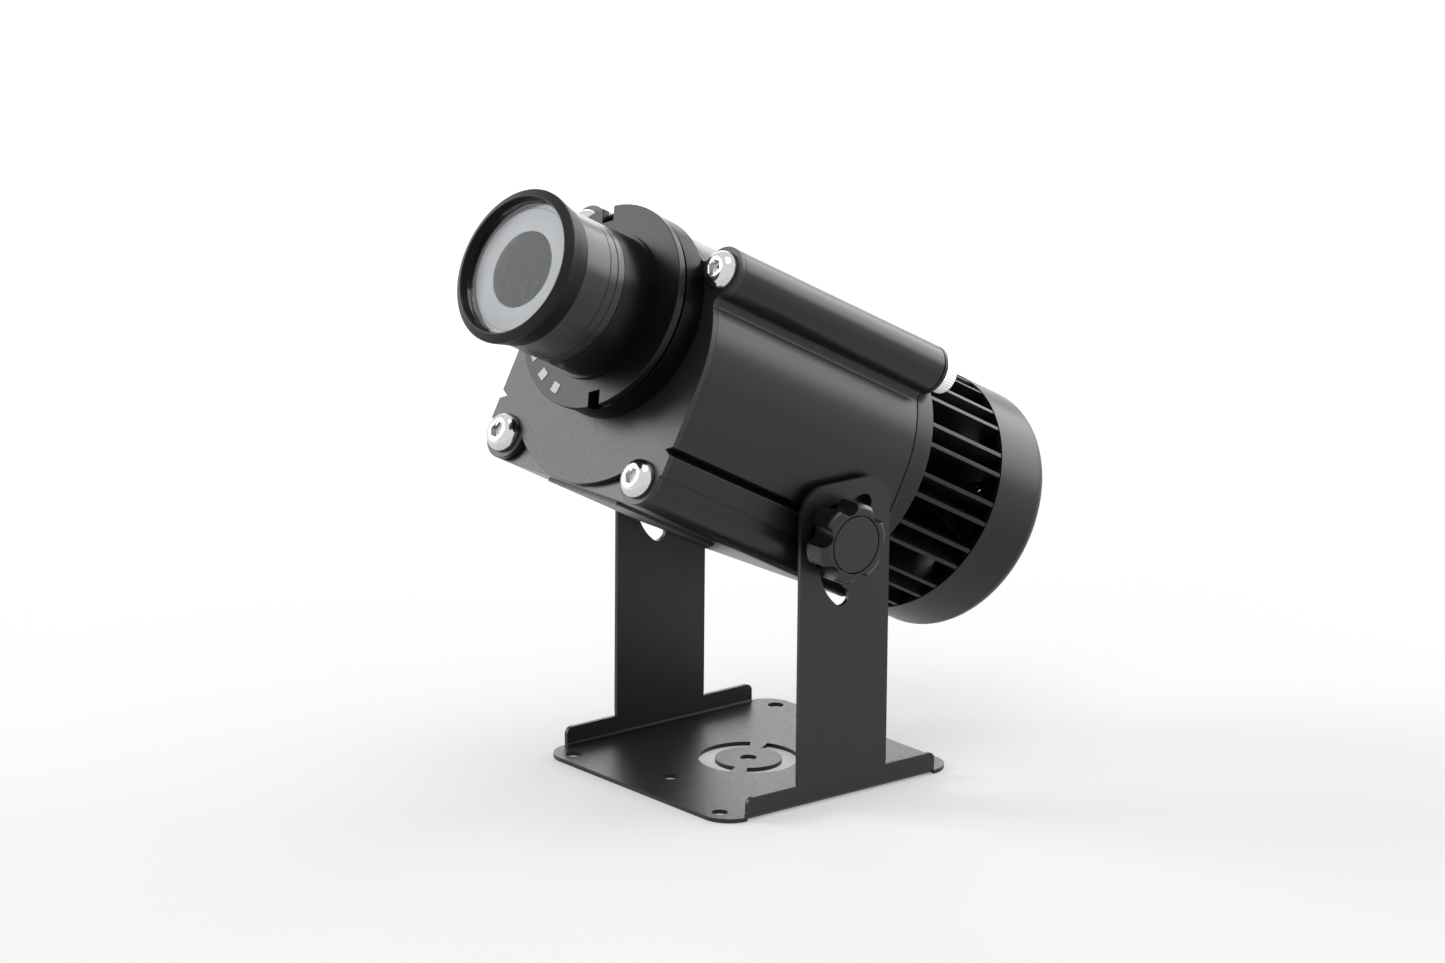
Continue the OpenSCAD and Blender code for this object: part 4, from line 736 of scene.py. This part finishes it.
def add_knob(side):
    """A lobed knob with its cap, on the axis and between the faces of its CAD node."""
    low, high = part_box("knob_" + side)
    middle = (low + high) / 2
    sign = 1 if side == "right" else -1
    foot = low.x if side == "right" else high.x
    lay = Matrix.Translation((foot, middle.y, middle.z)) @ Matrix.Diagonal((sign, 1, 1, 1))
    lay = lay @ HEAD.to_3x3().to_4x4() @ Matrix.Rotation(math.radians(90), 4, "Y") @ TO_METRES
    for node, bm, height in (
        ("knob_" + side, knob_body(), 0),
        ("knob_cap_" + side, knob_cap(), HUB_H + KNOB_T - CAP_T),
    ):
        if side == "left":
            bmesh.ops.reverse_faces(bm, faces=bm.faces)
        piece(node + "_finish", bm, lay @ Matrix.Translation((0, 0, height)), node)


# Stage

WHITE = (1, 1, 1, 1)
ROOM = 0.25
FLOOR_LOW = (0.80, 0.80, 0.80)
FLOOR_HIGH = (0.84, 0.84, 0.84)
FLOOR_HALF = 6
FLOOR_GAP = 0.0002

# The floor's own white for the rays that see it, from near the object to far from it
NEAR = 0.4
FAR = 3.0
NEAR_LIFT = 0.32
FAR_LIFT = 0.8


def seen_rays(tree):
    """1 for camera rays, for reflections and for rays through glass, 0 for the rest."""
    path = tree.nodes.new("ShaderNodeLightPath")
    last = path.outputs["Is Camera Ray"]
    for ray in ("Is Glossy Ray", "Is Transmission Ray"):
        either = tree.nodes.new("ShaderNodeMath")
        either.operation = "MAXIMUM"
        tree.links.new(last, either.inputs[0])
        tree.links.new(path.outputs[ray], either.inputs[1])
        last = either.outputs["Value"]
    return last


def add_floor():
    """A pale floor, which the camera and reflections see as white and shadows still darken."""
    n = Nodes("floor")
    n.set(Roughness=0.9, Emission_Color=WHITE)
    n.colour(n.noise(FLOOR_CLOUDS), FLOOR_LOW, FLOOR_HIGH)
    away = n.add("ShaderNodeVectorMath", operation="LENGTH")
    n.link(n.coords((1, 1, 1)), "Vector", away, "Vector")
    span = n.add("ShaderNodeMapRange", **{
        "From Min": NEAR, "From Max": FAR, "To Min": NEAR_LIFT, "To Max": FAR_LIFT,
    })
    n.link(away, "Value", span, "Value")
    lift = n.add("ShaderNodeMath", operation="MULTIPLY")
    n.tree.links.new(seen_rays(n.tree), lift.inputs[0])
    n.tree.links.new(span.outputs["Result"], lift.inputs[1])
    n.link(lift, "Value", n.bsdf, "Emission Strength")
    r = FLOOR_HALF
    mesh = bpy.data.meshes.new("floor")
    mesh.from_pydata([(-r, -r, 0), (r, -r, 0), (r, r, 0), (-r, r, 0)], [], [(0, 1, 2, 3)])
    mesh.materials.append(n.mat)
    floor = bpy.data.objects.new("floor", mesh)
    floor.location.z = -FLOOR_GAP
    bpy.context.scene.collection.objects.link(floor)


def add_world():
    """A white room in view and in reflections, which lights the object only a little."""
    world = bpy.data.worlds.new("studio")
    world.use_nodes = True
    bpy.context.scene.world = world
    tree = world.node_tree
    tree.nodes.clear()
    out = tree.nodes.new("ShaderNodeOutputWorld")
    seen = tree.nodes.new("ShaderNodeBackground")
    seen.inputs["Color"].default_value = WHITE
    room = tree.nodes.new("ShaderNodeBackground")
    room.inputs["Color"].default_value = WHITE
    room.inputs["Strength"].default_value = ROOM
    mix = tree.nodes.new("ShaderNodeMixShader")
    tree.links.new(seen_rays(tree), mix.inputs["Fac"])
    tree.links.new(room.outputs[0], mix.inputs[1])
    tree.links.new(seen.outputs[0], mix.inputs[2])
    tree.links.new(mix.outputs[0], out.inputs["Surface"])


def add_softbox(name, place, aim_height, width, height, power):
    """A soft lamp, aimed at a point above the origin."""
    data = bpy.data.lights.new(name, "AREA")
    data.shape = "RECTANGLE"
    data.size = width
    data.size_y = height
    data.energy = power
    lamp = bpy.data.objects.new(name, data)
    lamp.location = place
    aim = Vector((0, 0, aim_height)) - Vector(place)
    lamp.rotation_euler = aim.to_track_quat("-Z", "Y").to_euler()
    bpy.context.scene.collection.objects.link(lamp)


add_camera()
dress_cad()
add_refined()
add_lens()
add_bezel()
add_stop()
add_front_screws()
add_rear_screws()
add_knob("right")
add_knob("left")
add_floor()
add_world()
add_softbox("top_light", (0.3, -0.2, 2.2), aim_height=0.1, width=1.6, height=1.2, power=9)
add_softbox("left_light", (-1.7, -1.35, 0.85), aim_height=0.12, width=1.1, height=1.2, power=24.5)
add_softbox("far_light", (-1.6, 1.35, 0.6), aim_height=0.1, width=1.2, height=1.0, power=7.5)
add_softbox("back_light", (0.25, 2.1, 0.85), aim_height=0.12, width=2.5, height=0.9, power=25.5)
bpy.context.scene.view_settings.view_transform = "Standard"
